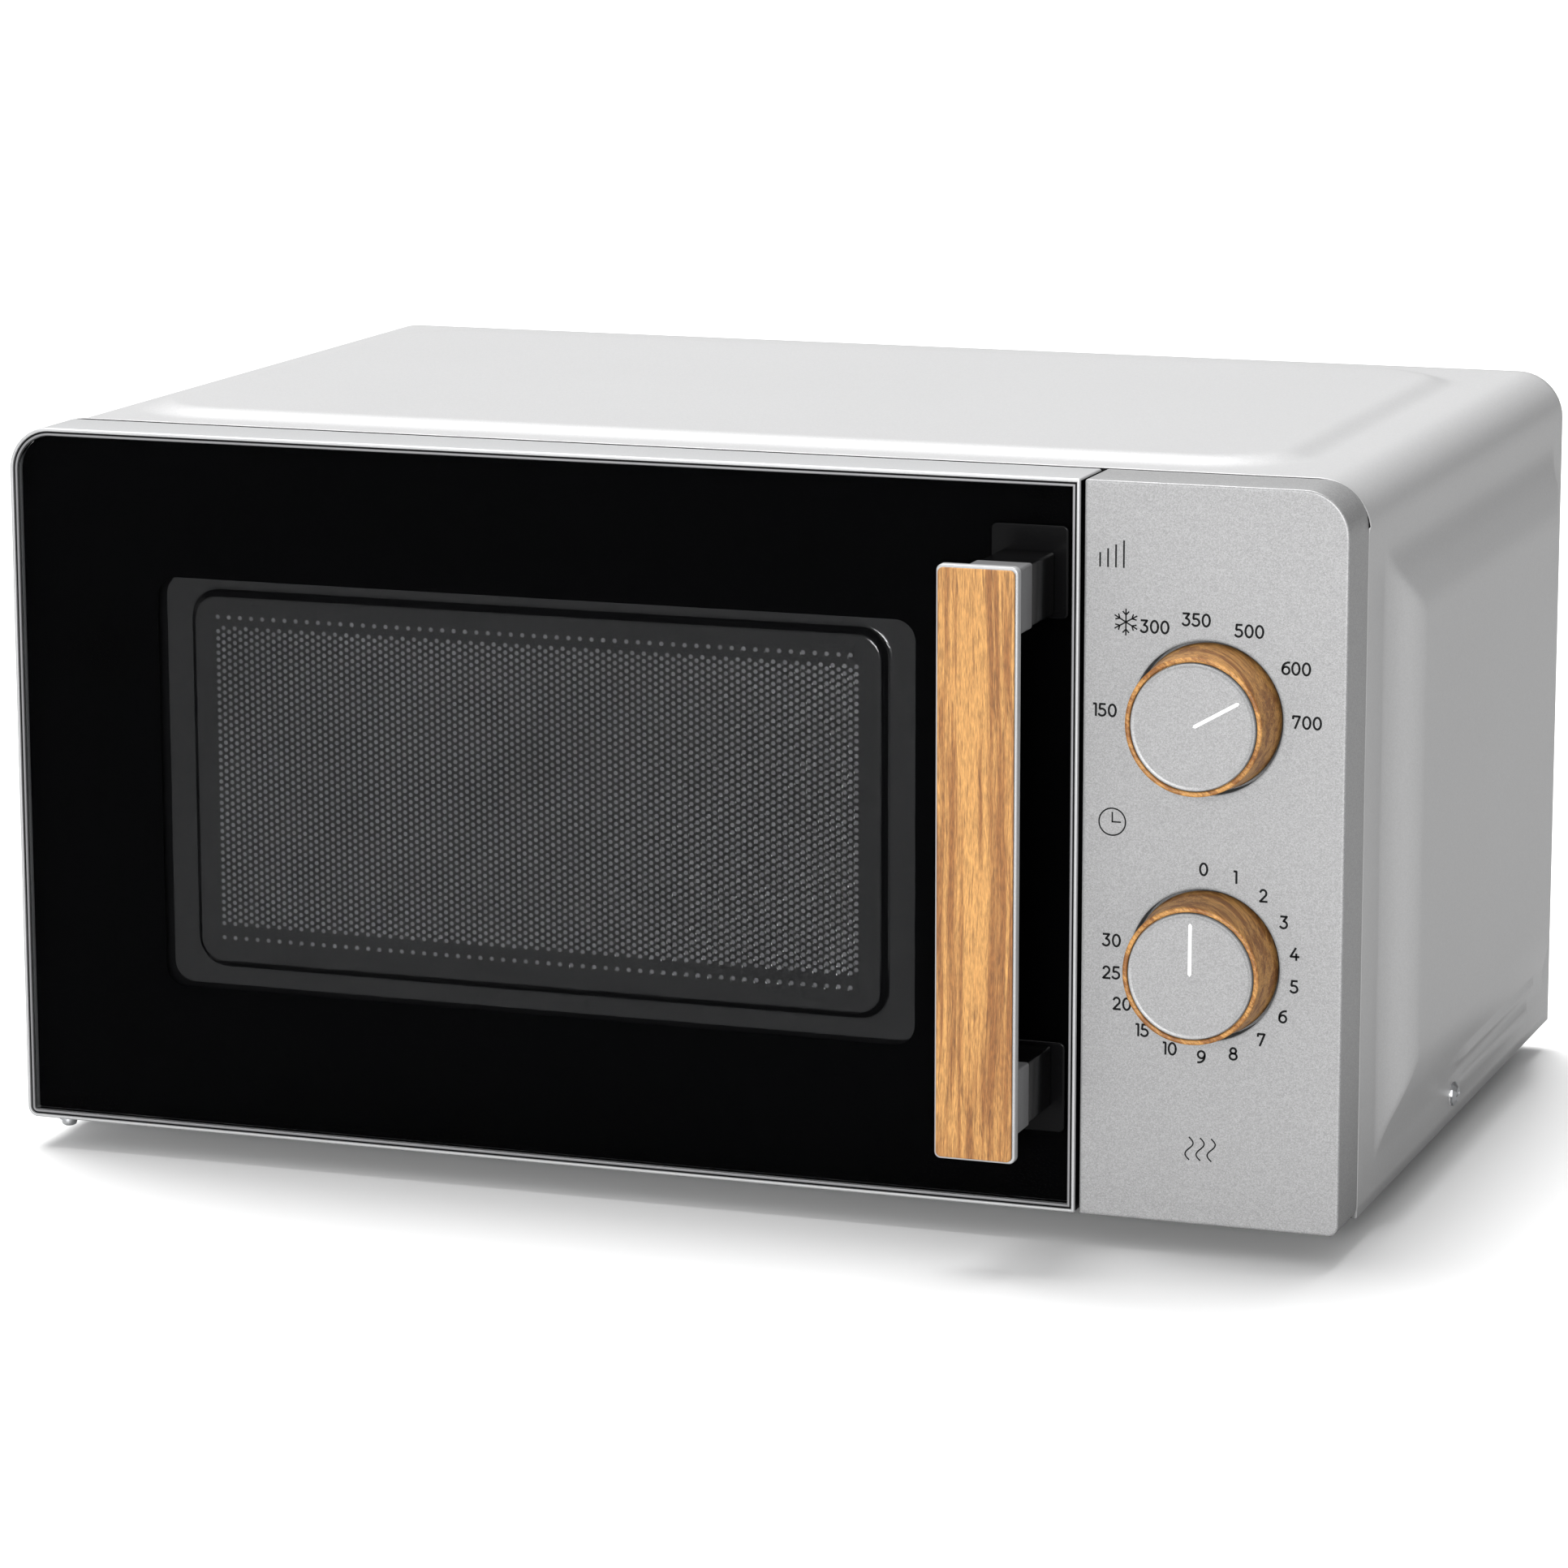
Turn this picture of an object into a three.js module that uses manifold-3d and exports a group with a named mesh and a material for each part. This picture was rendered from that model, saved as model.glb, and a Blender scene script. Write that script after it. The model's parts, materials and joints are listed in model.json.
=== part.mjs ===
// Compact microwave oven: pull door with a bar handle, two rotary dials, glass turntable.
// Millimetres, +Z up, front facing -Y. The origin is under the middle of the oven, at the feet.
import * as THREE from "three";
import { mergeVertices } from "three/addons/utils/BufferGeometryUtils.js";
import Module from "manifold-3d";

const wasm = await Module();
wasm.setup();

// ---- Driving dimensions ----
const frontWidth = 455; // door and control panel together
const frontHeight = 235;
const caseDepth = 305; // face of the door to the back of the casing
const frontDepth = 23; // door, face to back
const footHeight = 10;
const handleReach = 42; // door's face to the handle's face
const sheet = 1; // steel sheet
const clearance = 0.3; // between pieces that touch
const runGap = 0.4; // round a shaft or pin that turns

// Casing
const caseCorner = 16; // radius along the two long top edges
const topBulge = 2.5;
const sideBulge = 8;
const caseDrop = 0.5; // casing's top below the door's top
const screwHead = 2.2;

// Door and panel
const panelWidth = 84.3;
const doorGap = 1.5; // between door and panel
const doorBackGap = 1; // between door and casing
const frontCorner = 14.5; // two outer top corners of the front
const lowerCorner = 3.5;
const innerCorner = 0.8; // corners beside the gap
const rim = 2.6; // bezel round the glass
const glassSink = 0.6;
const glassThick = 3.2;
const coverThick = 2.6;
const window = { left: 51.3, right: 54.7, bottom: 49, top: 48, corner: 8 }; // from the door's edges
const screenMargin = { left: 17, right: 27.2, bottom: 12, top: 13 };
const screenFront = 7.5; // screen's flat, behind the door's face
const screenEmboss = 3;
const screenFlange = 10;

// Handle
const handle = {
  width: 26.3,
  fromRight: 20.3, // its middle, from the door's right edge
  bottom: 25.7,
  top: 22, // below the door's top
  bar: 3.4,
  strip: 0.9,
  stripEdge: 0.8,
};
const post = { width: 18.2, height: 20.5, low: 18.8, high: 11, collar: 12 }; // low, high: from the bar's ends
const postInset = 0.3; // posts' right sides, from the bar's right edge
const postPlate = { width: 25, height: 30, thick: 1.5, shift: 0.7 }; // shift: right of the post
const handleScrew = 2;

// Hinge axis, from the door's left edge and face, and its brackets
const hinge = { x: 9.5, y: 12, pin: 2.4, plate: 1.5, half: 4, relief: 11, drop: 8 };

// Latch
const hookX = 16.2; // from the door's right edge
const hook = { width: 4, lowZ: 52, highZ: 47, reach: 38, nose: 5, arm: 6 };
const latchLift = 4;
const carrier = { width: 8, y0: 8, y1: 16 };

// Dials
const dial = {
  fromPanel: 40, // from the panel's left edge
  timerZ: 83.9,
  powerZ: 162.3,
  powerAngle: 60, // where the power pointer stands, clockwise from the top
  cap: 20,
  lip: 21.8,
  base: 23.4,
  recess: 24.2,
  recessDepth: 8,
  reach: 16.5,
  skirt: 3, // how far the skirt goes into the recess
  shaft: 3,
  hub: 7,
};

// Oven cavity and its margins inside the front
const cavitySide = 29.6; // from the door's edges
const cavityFloor = 18; // above the front's lower edge
const cavityRoof = 19; // below the front's upper edge
const cavityBack = 18; // in front of the rear panel's face
const trayGap = 8.5;
const wheel = { radius: 7, width: 6, inset: 27.2, axle: 1.5 }; // inset: its middle from the tray's edge
const plateThick = 4;
const couplerRadius = 16;

// Right compartment
const guideWidth = 38;
const fanWall = 4;

// ---- Places worked out from them ----
const faceY = (handleReach - caseDepth - screwHead) / 2;
const backY = faceY + caseDepth;
const leftX = -frontWidth / 2;
const rightX = frontWidth / 2;
const bottomZ = footHeight;
const topZ = footHeight + frontHeight;
const doorX1 = rightX - panelWidth - doorGap;
const panelX0 = rightX - panelWidth;
const caseY0 = faceY + frontDepth + doorBackGap;
const frameY1 = caseY0 + clearance + sheet;
const caseTop = topZ - caseDrop;
const innerLeft = leftX + sheet + clearance;
const innerRight = rightX - sheet - clearance;
const basePlateZ = bottomZ + 1.5;
const cavity = {
  x: [leftX + cavitySide, doorX1 - cavitySide],
  y: [frameY1 + clearance, backY - cavityBack],
  z: [bottomZ + cavityFloor, topZ - cavityRoof],
};
const cavityMidX = (cavity.x[0] + cavity.x[1]) / 2;
const cavityMidY = (cavity.y[0] + cavity.y[1]) / 2;
const wellX0 = cavity.x[1] + sheet + clearance; // right compartment's left side
const hingeX = leftX + hinge.x;
const hingeY = faceY + hinge.y;
const hookMidX = doorX1 - hookX;
const hookZs = { lower: bottomZ + hook.lowZ, upper: topZ - hook.highZ };
const dialX = panelX0 + dial.fromPanel;

// ---- Solids ----

// A closed geometry as a solid for joining and cutting, with its faces turned outwards.
function solidOf(geometry) {
  const bare = geometry.index ? geometry.toNonIndexed() : geometry.clone();
  bare.deleteAttribute("normal");
  bare.deleteAttribute("uv");
  const merged = mergeVertices(bare, 1e-4);
  const place = merged.attributes.position;
  const corners = [0, 1, 2].map(() => new THREE.Vector3());
  const faces = [];
  let volume = 0;
  for (let i = 0; i < merged.index.count; i += 3) {
    const face = [0, 1, 2].map((k) => merged.index.getX(i + k));
    if (new Set(face).size < 3) continue;
    corners.forEach((corner, k) => corner.fromBufferAttribute(place, face[k]));
    volume += corners[0].dot(corners[1].clone().cross(corners[2]));
    faces.push(face);
  }
  const outward = volume > 0 ? faces : faces.map((face) => face.toReversed());
  return new wasm.Manifold(
    new wasm.Mesh({
      numProp: 3,
      vertProperties: place.array,
      triVerts: new Uint32Array(outward.flat()),
    }),
  );
}
const join = (...solids) => solids.reduce((whole, piece) => whole.add(piece));
const cut = (solid, ...tools) => tools.reduce((rest, tool) => rest.subtract(tool), solid);

function box([x0, x1], [y0, y1], [z0, z1]) {
  const block = new THREE.BoxGeometry(x1 - x0, y1 - y0, z1 - z0);
  return solidOf(block.translate((x0 + x1) / 2, (y0 + y1) / 2, (z0 + z1) / 2));
}

// Points on an arc, both ends included, in degrees.
function arc(x, y, radius, from, to, steps) {
  return Array.from({ length: steps + 1 }, (_, i) => {
    const angle = THREE.MathUtils.degToRad(from + ((to - from) * i) / steps);
    return new THREE.Vector2(x + radius * Math.cos(angle), y + radius * Math.sin(angle));
  });
}
const circle = (x, y, radius, sides = 20) => arc(x, y, radius, 0, 360, sides).slice(0, -1);

// A rectangle's outline with a radius for each corner: lower left, lower right, upper right, upper left.
function rounded([x0, x1], [y0, y1], radii, steps = 4) {
  const [a, b, c, d] = Array.isArray(radii) ? radii : [radii, radii, radii, radii];
  const corner = (x, y, radius, from) =>
    radius ? arc(x, y, radius, from, from + 90, steps) : [new THREE.Vector2(x, y)];
  return [
    ...corner(x0 + a, y0 + a, a, 180),
    ...corner(x1 - b, y0 + b, b, 270),
    ...corner(x1 - c, y1 - c, c, 0),
    ...corner(x0 + d, y1 - d, d, 90),
  ];
}

const axisX = new THREE.Vector3(1, 0, 0);
const axisY = new THREE.Vector3(0, 1, 0);
const axisZ = new THREE.Vector3(0, 0, 1);
const turns = {
  x: new THREE.Matrix4().makeBasis(axisY, axisZ, axisX), // outline in y, z
  y: new THREE.Matrix4().makeBasis(axisX, axisZ, axisY.clone().negate()), // outline in x, z
  z: new THREE.Matrix4(), // outline in x, y
};

// An outline pushed along an axis from one place to another.
function extrude(axis, outline, from, to) {
  const bar = new THREE.ExtrudeGeometry(new THREE.Shape(outline), { depth: to - from, bevelEnabled: false });
  return solidOf(bar.translate(0, 0, axis === "y" ? -to : from).applyMatrix4(turns[axis]));
}

// The same with holes right through it.
function prism(axis, outline, [from, to], holes = []) {
  const tools = holes.map((hole) => extrude(axis, hole, from - 1, to + 1));
  return cut(extrude(axis, outline, from, to), ...tools);
}
const rod = (axis, [u, v], radius, span, sides = 20) => prism(axis, circle(u, v, radius, sides), span);
const polygon = (...points) => points.map(([u, v]) => new THREE.Vector2(u, v));

// A profile of [radius, height] points turned round the Z axis, or round Y when asked.
function turned(profile, sides = 24, axis = "z") {
  const lathe = new THREE.LatheGeometry(polygon(...profile), sides);
  return solidOf(axis === "z" ? lathe.rotateX(Math.PI / 2) : lathe);
}

// A closed skin between two convex rings with the same number of points.
function loft(lower, upper) {
  const count = lower.length;
  const points = [...lower, ...upper].flatMap((point) => point.toArray());
  const faces = [];
  for (let i = 0; i < count; i++) {
    const next = (i + 1) % count;
    faces.push(i, next, count + next, i, count + next, count + i);
  }
  for (let i = 1; i < count - 1; i++) faces.push(0, i + 1, i, count, count + i, count + i + 1);
  const skin = new THREE.BufferGeometry();
  skin.setAttribute("position", new THREE.Float32BufferAttribute(points, 3));
  return solidOf(skin.setIndex(faces));
}

// ---- Materials ----
function finish(color, roughness, metalness, extra = {}) {
  return new THREE.MeshStandardMaterial({ color, roughness, metalness, flatShading: true, ...extra });
}
const silver = finish(0xb9babc, 0.42, 0.6);
const silverTrim = finish(0xc9cacc, 0.3, 0.7);
const wood = finish(0xd39c5d, 0.55, 0);
const black = finish(0x0b0b0c, 0.35, 0);
const glass = finish(0x050506, 0.05, 0);
const zinc = finish(0xaeb2b5, 0.4, 0.9);
const enamel = finish(0x8d8f92, 0.45, 0.3);
const clearGlass = finish(0xdfeeee, 0.05, 0, { transparent: true, opacity: 0.4 });
const whitePlastic = finish(0xe4e2dc, 0.5, 0);
const mica = finish(0xc8bfa4, 0.7, 0);
const copper = finish(0xa35a2b, 0.4, 0.8);
const darkSteel = finish(0x4a4c4f, 0.5, 0.8);
const rubber = finish(0x1a1a1a, 0.9, 0);
const board = finish(0x2f6b3a, 0.6, 0);

const oven = new THREE.Group();

// A named piece from a solid, put where it belongs.
function add(parent, name, solid, material, [x, y, z] = [0, 0, 0]) {
  const { vertProperties, triVerts } = solid.getMesh();
  const geometry = new THREE.BufferGeometry();
  geometry.setAttribute("position", new THREE.BufferAttribute(vertProperties, 3));
  geometry.setIndex(new THREE.BufferAttribute(triVerts, 1));
  const mesh = new THREE.Mesh(geometry, material);
  mesh.name = name;
  mesh.position.set(x, y, z);
  parent.add(mesh);
  return mesh;
}

// ---- Casing ----

// The raised field on top: a rounded rectangle with sloped edges.
function topField(shift) {
  const inset = { left: 27, right: 39, front: 26, back: 26 };
  const slope = 10;
  const ring = (grow, z) =>
    rounded(
      [leftX + inset.left - grow, rightX - inset.right + grow],
      [caseY0 + inset.front - grow, backY - inset.back + grow],
      24 + grow,
    ).map((point) => new THREE.Vector3(point.x, point.y, z + shift));
  return loft(ring(slope, caseTop - 0.5), ring(0, caseTop + topBulge));
}

// The raised field on a side: a long wedge at the front, shallow slopes above and below.
function sideField(side, shift) {
  const wall = side * (rightX - 0.5 + shift);
  const crest = side * (rightX + sideBulge + shift);
  const outline = (x, front, back, low, high, corner) =>
    rounded([caseY0 + front, backY - back], [bottomZ + low, topZ - high], corner, 2).map(
      (point) => new THREE.Vector3(x, point.x, point.y),
    );
  return loft(outline(wall, 18, 10, 22, 24, 8), outline(crest, 46, 42, 50, 46, 2));
}

function casing() {
  const outline = (inset, floor) =>
    rounded(
      [leftX + inset, rightX - inset],
      [floor, caseTop - inset],
      [0, 0, caseCorner - inset, caseCorner - inset],
      5,
    );
  const outside = join(
    prism("y", outline(0, bottomZ), [caseY0, backY]),
    topField(0),
    sideField(1, 0),
    sideField(-1, 0),
  );
  const inside = join(
    prism("y", outline(sheet, bottomZ - 1), [caseY0 - 1, backY + 1]),
    topField(-sheet),
    sideField(1, -sheet),
    sideField(-1, -sheet),
  );
  const hole = (side) => rod("x", [sideScrewY, sideScrewZ], screwShank + runGap, side, 10);
  return cut(outside, inside, hole([leftX - 5, leftX + 5]), hole([rightX - 5, rightX + 5]));
}

const screwShank = 1.8;
const sideScrewY = caseY0 + 130;
const sideScrewZ = bottomZ + 9;
const flange = 16;

// A pan-head screw along +Y: head outside the plane y = 0, shank through it.
function screw(shank) {
  const head = 4.2;
  const profile = [
    [0, -screwHead],
    [head * 0.6, -screwHead],
    [head, -screwHead * 0.5],
    [head, -clearance],
    [screwShank, -clearance],
    [screwShank, shank],
    [0, shank],
  ];
  const slot = box([-head * 0.6, head * 0.6], [-screwHead - 1, -screwHead + 0.7], [-0.5, 0.5]);
  return cut(turned(profile, 12, "y"), slot);
}

// Floor with a turned-up flange along each side, which the side screws hold.
function basePlate() {
  const [x0, x1] = [innerLeft, innerRight];
  const depth = [frameY1 + clearance, backY - sheet - 2 * clearance];
  const [low, floor, high] = [basePlateZ, basePlateZ + sheet, basePlateZ + flange];
  const outline = polygon(
    [x0, low],
    [x1, low],
    [x1, high],
    [x1 - sheet, high],
    [x1 - sheet, floor],
    [x0 + sheet, floor],
    [x0 + sheet, high],
    [x0, high],
  );
  const through = [low - 1, floor + 1];
  const vents = [0, 1, 2, 3, 4, 5].map((i) =>
    box([wellX0 + 20 + i * 12, wellX0 + 24 + i * 12], [backY - 80, backY - 52], through),
  );
  const footHoles = feet.map(([, x, y]) => rod("z", [x, y], footStem + clearance, through, 10));
  const screwHoles = rod("x", [sideScrewY, sideScrewZ], screwShank + runGap, [x0 - 1, x1 + 1], 10);
  return cut(extrude("y", outline, ...depth), ...vents, ...footHoles, screwHoles);
}

const footStem = 2.6;
const footInset = { side: 40, front: 48, back: 40 };
const feet = [
  ["foot_front_left", leftX + footInset.side, faceY + footInset.front],
  ["foot_front_right", rightX - footInset.side, faceY + footInset.front],
  ["foot_rear_left", leftX + footInset.side, backY - footInset.back],
  ["foot_rear_right", rightX - footInset.side, backY - footInset.back],
];

function foot() {
  const top = basePlateZ - clearance;
  return turned(
    [
      [0, 0],
      [8.5, 0],
      [9.5, 1],
      [11, top],
      [footStem, top],
      [footStem, basePlateZ + sheet + 1],
      [0, basePlateZ + sheet + 1],
    ],
    14,
  );
}

const rearScrewPlaces = [
  ["rear_screw_left", leftX + 30, topZ - 16],
  ["rear_screw_right", rightX - 30, topZ - 16],
];
const gland = { x: rightX - 26, z: bottomZ + 28, hole: 3.8, tube: 6, flange: 9 };
const fanMidX = (wellX0 + innerRight) / 2;
const fanHalf = (innerRight - wellX0) / 2 - 4;
const fanMidZ = topZ - 85;

function rearPanel() {
  const inset = sheet + clearance;
  const corner = caseCorner - inset;
  const outline = rounded(
    [leftX + inset, rightX - inset],
    [basePlateZ + clearance, caseTop - inset],
    [0, 0, corner, corner],
  );
  const slot = { high: 3, pitch: 8 };
  const slots = (x0, x1, count, midZ) =>
    Array.from({ length: count }, (_, i) => {
      const z = midZ + (i - (count - 1) / 2) * slot.pitch;
      return rounded([x0, x1], [z - slot.high / 2, z + slot.high / 2], 0);
    });
  const holes = [
    ...slots(fanMidX - 34, fanMidX + 34, 8, fanMidZ),
    ...slots(leftX + 40, leftX + 110, 5, topZ - 60),
    circle(gland.x, gland.z, gland.tube + clearance, 16),
    ...rearScrewPlaces.map(([, x, z]) => circle(x, z, screwShank + clearance, 10)),
  ];
  return prism("y", outline, [backY - sheet, backY], holes);
}

function cordBushing() {
  const out = backY + screwHead - 0.2;
  const tube = rod("y", [gland.x, gland.z], gland.tube, [backY - 6, out], 16);
  const ring = rod("y", [gland.x, gland.z], gland.flange, [backY + clearance, out], 20);
  return cut(join(tube, ring), rod("y", [gland.x, gland.z], gland.hole, [backY - 7, out + 1], 16));
}

add(oven, "outer_casing", casing(), silver);
add(oven, "base_plate", basePlate(), zinc);
add(oven, "rear_panel", rearPanel(), zinc);
add(oven, "cord_bushing", cordBushing(), black);
for (const [name, x, y] of feet) add(oven, name, foot(), rubber, [x, y, 0]);
for (const [name, x, z] of rearScrewPlaces) {
  add(oven, name, screw(6), zinc, [x, backY, z]).rotation.z = Math.PI;
}
const sideShank = 5;
add(oven, "side_screw_right", screw(sideShank), zinc, [rightX, sideScrewY, sideScrewZ]).rotation.z =
  Math.PI / 2;
add(oven, "side_screw_left", screw(sideShank), zinc, [leftX, sideScrewY, sideScrewZ]).rotation.z =
  -Math.PI / 2;

// ---- Cavity and front frame ----
const slotPad = 2; // round a hook, to each side
const upperPlateZ = topZ - hinge.drop - hinge.plate - clearance; // upper hinge plate's underside

function frontFrame() {
  const corner = caseCorner - sheet - clearance;
  const outline = rounded(
    [innerLeft, innerRight],
    [basePlateZ, caseTop - sheet - clearance],
    [0, 0, corner, corner],
  );
  const hookSlot = (z) =>
    rounded(
      [hookMidX - hook.width / 2 - slotPad, hookMidX + hook.width / 2 + slotPad],
      [z - hook.arm / 2 - hook.nose - slotPad, z + hook.arm / 2 + latchLift + slotPad],
      0,
    );
  const hingeSlot = rounded(
    [hingeX - hinge.half - clearance, hingeX + hinge.half + clearance],
    [upperPlateZ - clearance, upperPlateZ + hinge.plate + clearance],
    0,
  );
  const dialOpening = rounded([panelX0 + 6, rightX - 8], [bottomZ + 45, topZ - 25], 0);
  const mouth = rounded(cavity.x, cavity.z, 8);
  const holes = [mouth, hookSlot(hookZs.lower), hookSlot(hookZs.upper), hingeSlot, dialOpening];
  return prism("y", outline, [caseY0 + clearance, frameY1], holes);
}

const port = { y: [cavity.y[0] + 70, cavity.y[0] + 130], z: [topZ - 105, topZ - 65] };
const magnetronY = [port.y[0] - 5, port.y[1] + 15];
const shroudY = [backY - 52, backY - 34]; // fan's frame
const lampShare = 0.3857; // how far the lamp stands from the magnetron towards the fan
const lampHole = { y: THREE.MathUtils.lerp(magnetronY[1], shroudY[0], lampShare), z: topZ - 60, radius: 7 };
const couplerHole = 6;

// Five-sided liner, with the coupler's hole, the waveguide's port and the lamp's hole.
function ovenCavity() {
  const grow = ([a, b], by) => [a - by, b + by];
  const shell = box(grow(cavity.x, sheet), [cavity.y[0], cavity.y[1] + sheet], grow(cavity.z, sheet));
  const hollow = box(cavity.x, [cavity.y[0] - 1, cavity.y[1]], cavity.z);
  const side = [cavity.x[1] - 1, cavity.x[1] + 2];
  return cut(
    shell,
    hollow,
    box(side, port.y, port.z),
    rod("x", [lampHole.y, lampHole.z], lampHole.radius, side, 12),
    rod("z", [cavityMidX, cavityMidY], couplerHole, [cavity.z[0] - 2, cavity.z[0] + 1]),
  );
}

function waveguideCover() {
  const edge = 9;
  const x = [cavity.x[1] - clearance - 1, cavity.x[1] - clearance];
  return prism("x", rounded([port.y[0] - edge, port.y[1] + edge], [port.z[0] - edge, port.z[1] + edge], 4), x);
}

const magnetronZ = [topZ - 115, topZ - 35];
const antenna = { y: port.y[0] + 30, z: (port.z[0] + port.z[1]) / 2, radius: 8 };

function waveguide() {
  const edge = 8;
  const x1 = wellX0 + guideWidth;
  const y = [port.y[0] - edge, port.y[1] + edge];
  const z = [port.z[0] - edge, port.z[1] + edge];
  const shell = box([wellX0, x1], y, z);
  const hollow = box([wellX0 - 1, x1 - sheet], [y[0] + sheet, y[1] - sheet], [z[0] + sheet, z[1] - sheet]);
  return cut(shell, hollow, rod("x", [antenna.y, antenna.z], antenna.radius + 1, [x1 - 3, x1 + 1], 16));
}

// Anode core with cooling fins in a steel yoke, its antenna reaching into the waveguide.
function magnetron() {
  const x = [wellX0 + guideWidth + clearance, innerRight - 10];
  const yoke = cut(
    box(x, magnetronY, magnetronZ),
    box([x[0] + 3, x[1] - 3], [magnetronY[0] - 1, magnetronY[1] + 1], [magnetronZ[0] + 3, magnetronZ[1] - 3]),
  );
  const midY = (magnetronY[0] + magnetronY[1]) / 2;
  const core = rod("x", [midY, antenna.z], 17, [x[0] + 1, x[1] - 1], 16);
  const finCount = 6;
  const pitch = (x[1] - x[0] - 12) / (finCount - 1);
  const fins = Array.from({ length: finCount }, (_, i) => {
    const at = x[0] + 6 + i * pitch;
    return box([at - 0.6, at + 0.6], [magnetronY[0] + 4, magnetronY[1] - 4], [magnetronZ[0] + 2, magnetronZ[1] - 2]);
  });
  const stub = rod("x", [antenna.y, antenna.z], antenna.radius, [wellX0 + 12, x[0] + 1], 16);
  return join(yoke, core, stub, ...fins);
}

// Laminated core on a foot plate, with primary and secondary windings round the middle.
function transformer() {
  const x = [wellX0 + 15, innerRight - 16];
  const y = [faceY + 95, faceY + 160];
  const z0 = basePlateZ + sheet + clearance;
  const core = box(x, y, [z0 + 1, z0 + 64]);
  const base = box([x[0] - 6, x[1] + 6], [y[0] + 8, y[1] - 8], [z0, z0 + 2]);
  const coil = (low, high) =>
    prism("z", rounded([x[0] + 10, x[1] - 10], [y[0] - 12, y[1] + 12], 8, 3), [low, high]);
  return join(core, base, coil(z0 + 10, z0 + 32), coil(z0 + 36, z0 + 56));
}

function capacitor() {
  const x = [innerRight - 66, innerRight - 14];
  const y = [faceY + 178, faceY + 210];
  const z0 = basePlateZ + sheet + clearance;
  const can = prism("z", rounded(x, y, 15.5, 5), [z0, z0 + 80]);
  const tab = (at) => box([at - 3, at + 3], [(y[0] + y[1]) / 2 - 0.4, (y[0] + y[1]) / 2 + 0.4], [z0 + 79, z0 + 88]);
  return join(can, tab(x[0] + 16), tab(x[1] - 16));
}

function fanShroud() {
  const x = [fanMidX - fanHalf, fanMidX + fanHalf];
  const z = [fanMidZ - fanHalf, fanMidZ + fanHalf];
  const ring = prism("y", rounded(x, z, 6, 3), shroudY, [circle(fanMidX, fanMidZ, fanHalf - fanWall, 32)]);
  const bridge = { half: 5, y: [shroudY[1] - 3, shroudY[1]] };
  const spoke = cut(
    box(x, bridge.y, [fanMidZ - bridge.half, fanMidZ + bridge.half]),
    rod("y", [fanMidX, fanMidZ], fanShaft + 1, [bridge.y[0] - 1, bridge.y[1] + 1], 12),
  );
  return join(ring, spoke);
}

const fanShaft = 2;
const fanMotorY = [shroudY[1] + clearance, backY - sheet - 3];

function fanMotor() {
  const y = fanMotorY;
  const stack = box([fanMidX - 28, fanMidX + 28], [y[0] + 4, y[1] - 4], [fanMidZ - 26, fanMidZ + 22]);
  const coil = prism("y", rounded([fanMidX - 16, fanMidX + 16], [fanMidZ - 34, fanMidZ - 9], 5, 3), [y[0] + 1, y[1] - 1]);
  const cage = rod("y", [fanMidX, fanMidZ], 14, y, 20);
  return cut(join(stack, coil, cage), rod("y", [fanMidX, fanMidZ], fanShaft + runGap, [y[0] - 1, y[0] + 14], 12));
}

// Hub, shaft and five twisted blades, turning about Y.
function fanBlade() {
  const reach = fanHalf - fanWall - 3;
  const depth = [shroudY[0] + 1, shroudY[1] - 4.5];
  const hub = rod("y", [fanMidX, fanMidZ], 11, depth, 20);
  const shaft = rod("y", [fanMidX, fanMidZ], fanShaft, [depth[1] - 1, fanMotorY[0] + 12], 12);
  const bladeCount = 5;
  const blades = Array.from({ length: bladeCount }, (_, i) => {
    const blade = new THREE.BoxGeometry(22, 1.2, reach - 8).translate(0, 0, (reach - 8) / 2 + 7);
    blade.rotateZ(THREE.MathUtils.degToRad(25)).rotateY((2 * Math.PI * i) / bladeCount);
    return solidOf(blade.translate(fanMidX, (depth[0] + depth[1]) / 2, fanMidZ));
  });
  return join(hub, shaft, ...blades).intersect(rod("y", [fanMidX, fanMidZ], reach, [depth[0], backY], 32));
}

function ovenLamp() {
  const stem = rod("x", [lampHole.y, lampHole.z], 9, [wellX0 + 22, wellX0 + 40], 14);
  const bulb = rod("x", [lampHole.y, lampHole.z], 6.5, [wellX0 + 2, wellX0 + 23], 12);
  const bracket = box([wellX0, wellX0 + 30], [lampHole.y - 9, lampHole.y + 9], [lampHole.z + 8.5, lampHole.z + 9.7]);
  const foot = box([wellX0, wellX0 + 1.2], [lampHole.y - 9, lampHole.y + 9], [lampHole.z + 8.5, lampHole.z + 22]);
  return join(stem, bulb, bracket, foot);
}

function filterBoard() {
  const x = [wellX0 + 4, wellX0 + 44];
  const y = backY - 37;
  const z = [bottomZ + 14, bottomZ + 60];
  const plate = box(x, [y, y + 1.6], z);
  const coil = rod("y", [x[0] + 12, z[0] + 14], 9, [y - 11, y + 1], 16);
  const block = box([x[0] + 24, x[0] + 38], [y - 12, y + 1], [z[0] + 5, z[0] + 23]);
  const fuse = rod("x", [y - 4, z[1] - 8], 3, [x[0] + 6, x[0] + 34], 10);
  const clip = (at) => box([at, at + 2], [y - 6, y + 1], [z[1] - 10, z[1] - 6]);
  return join(plate, coil, block, fuse, clip(x[0] + 8), clip(x[0] + 30));
}

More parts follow.
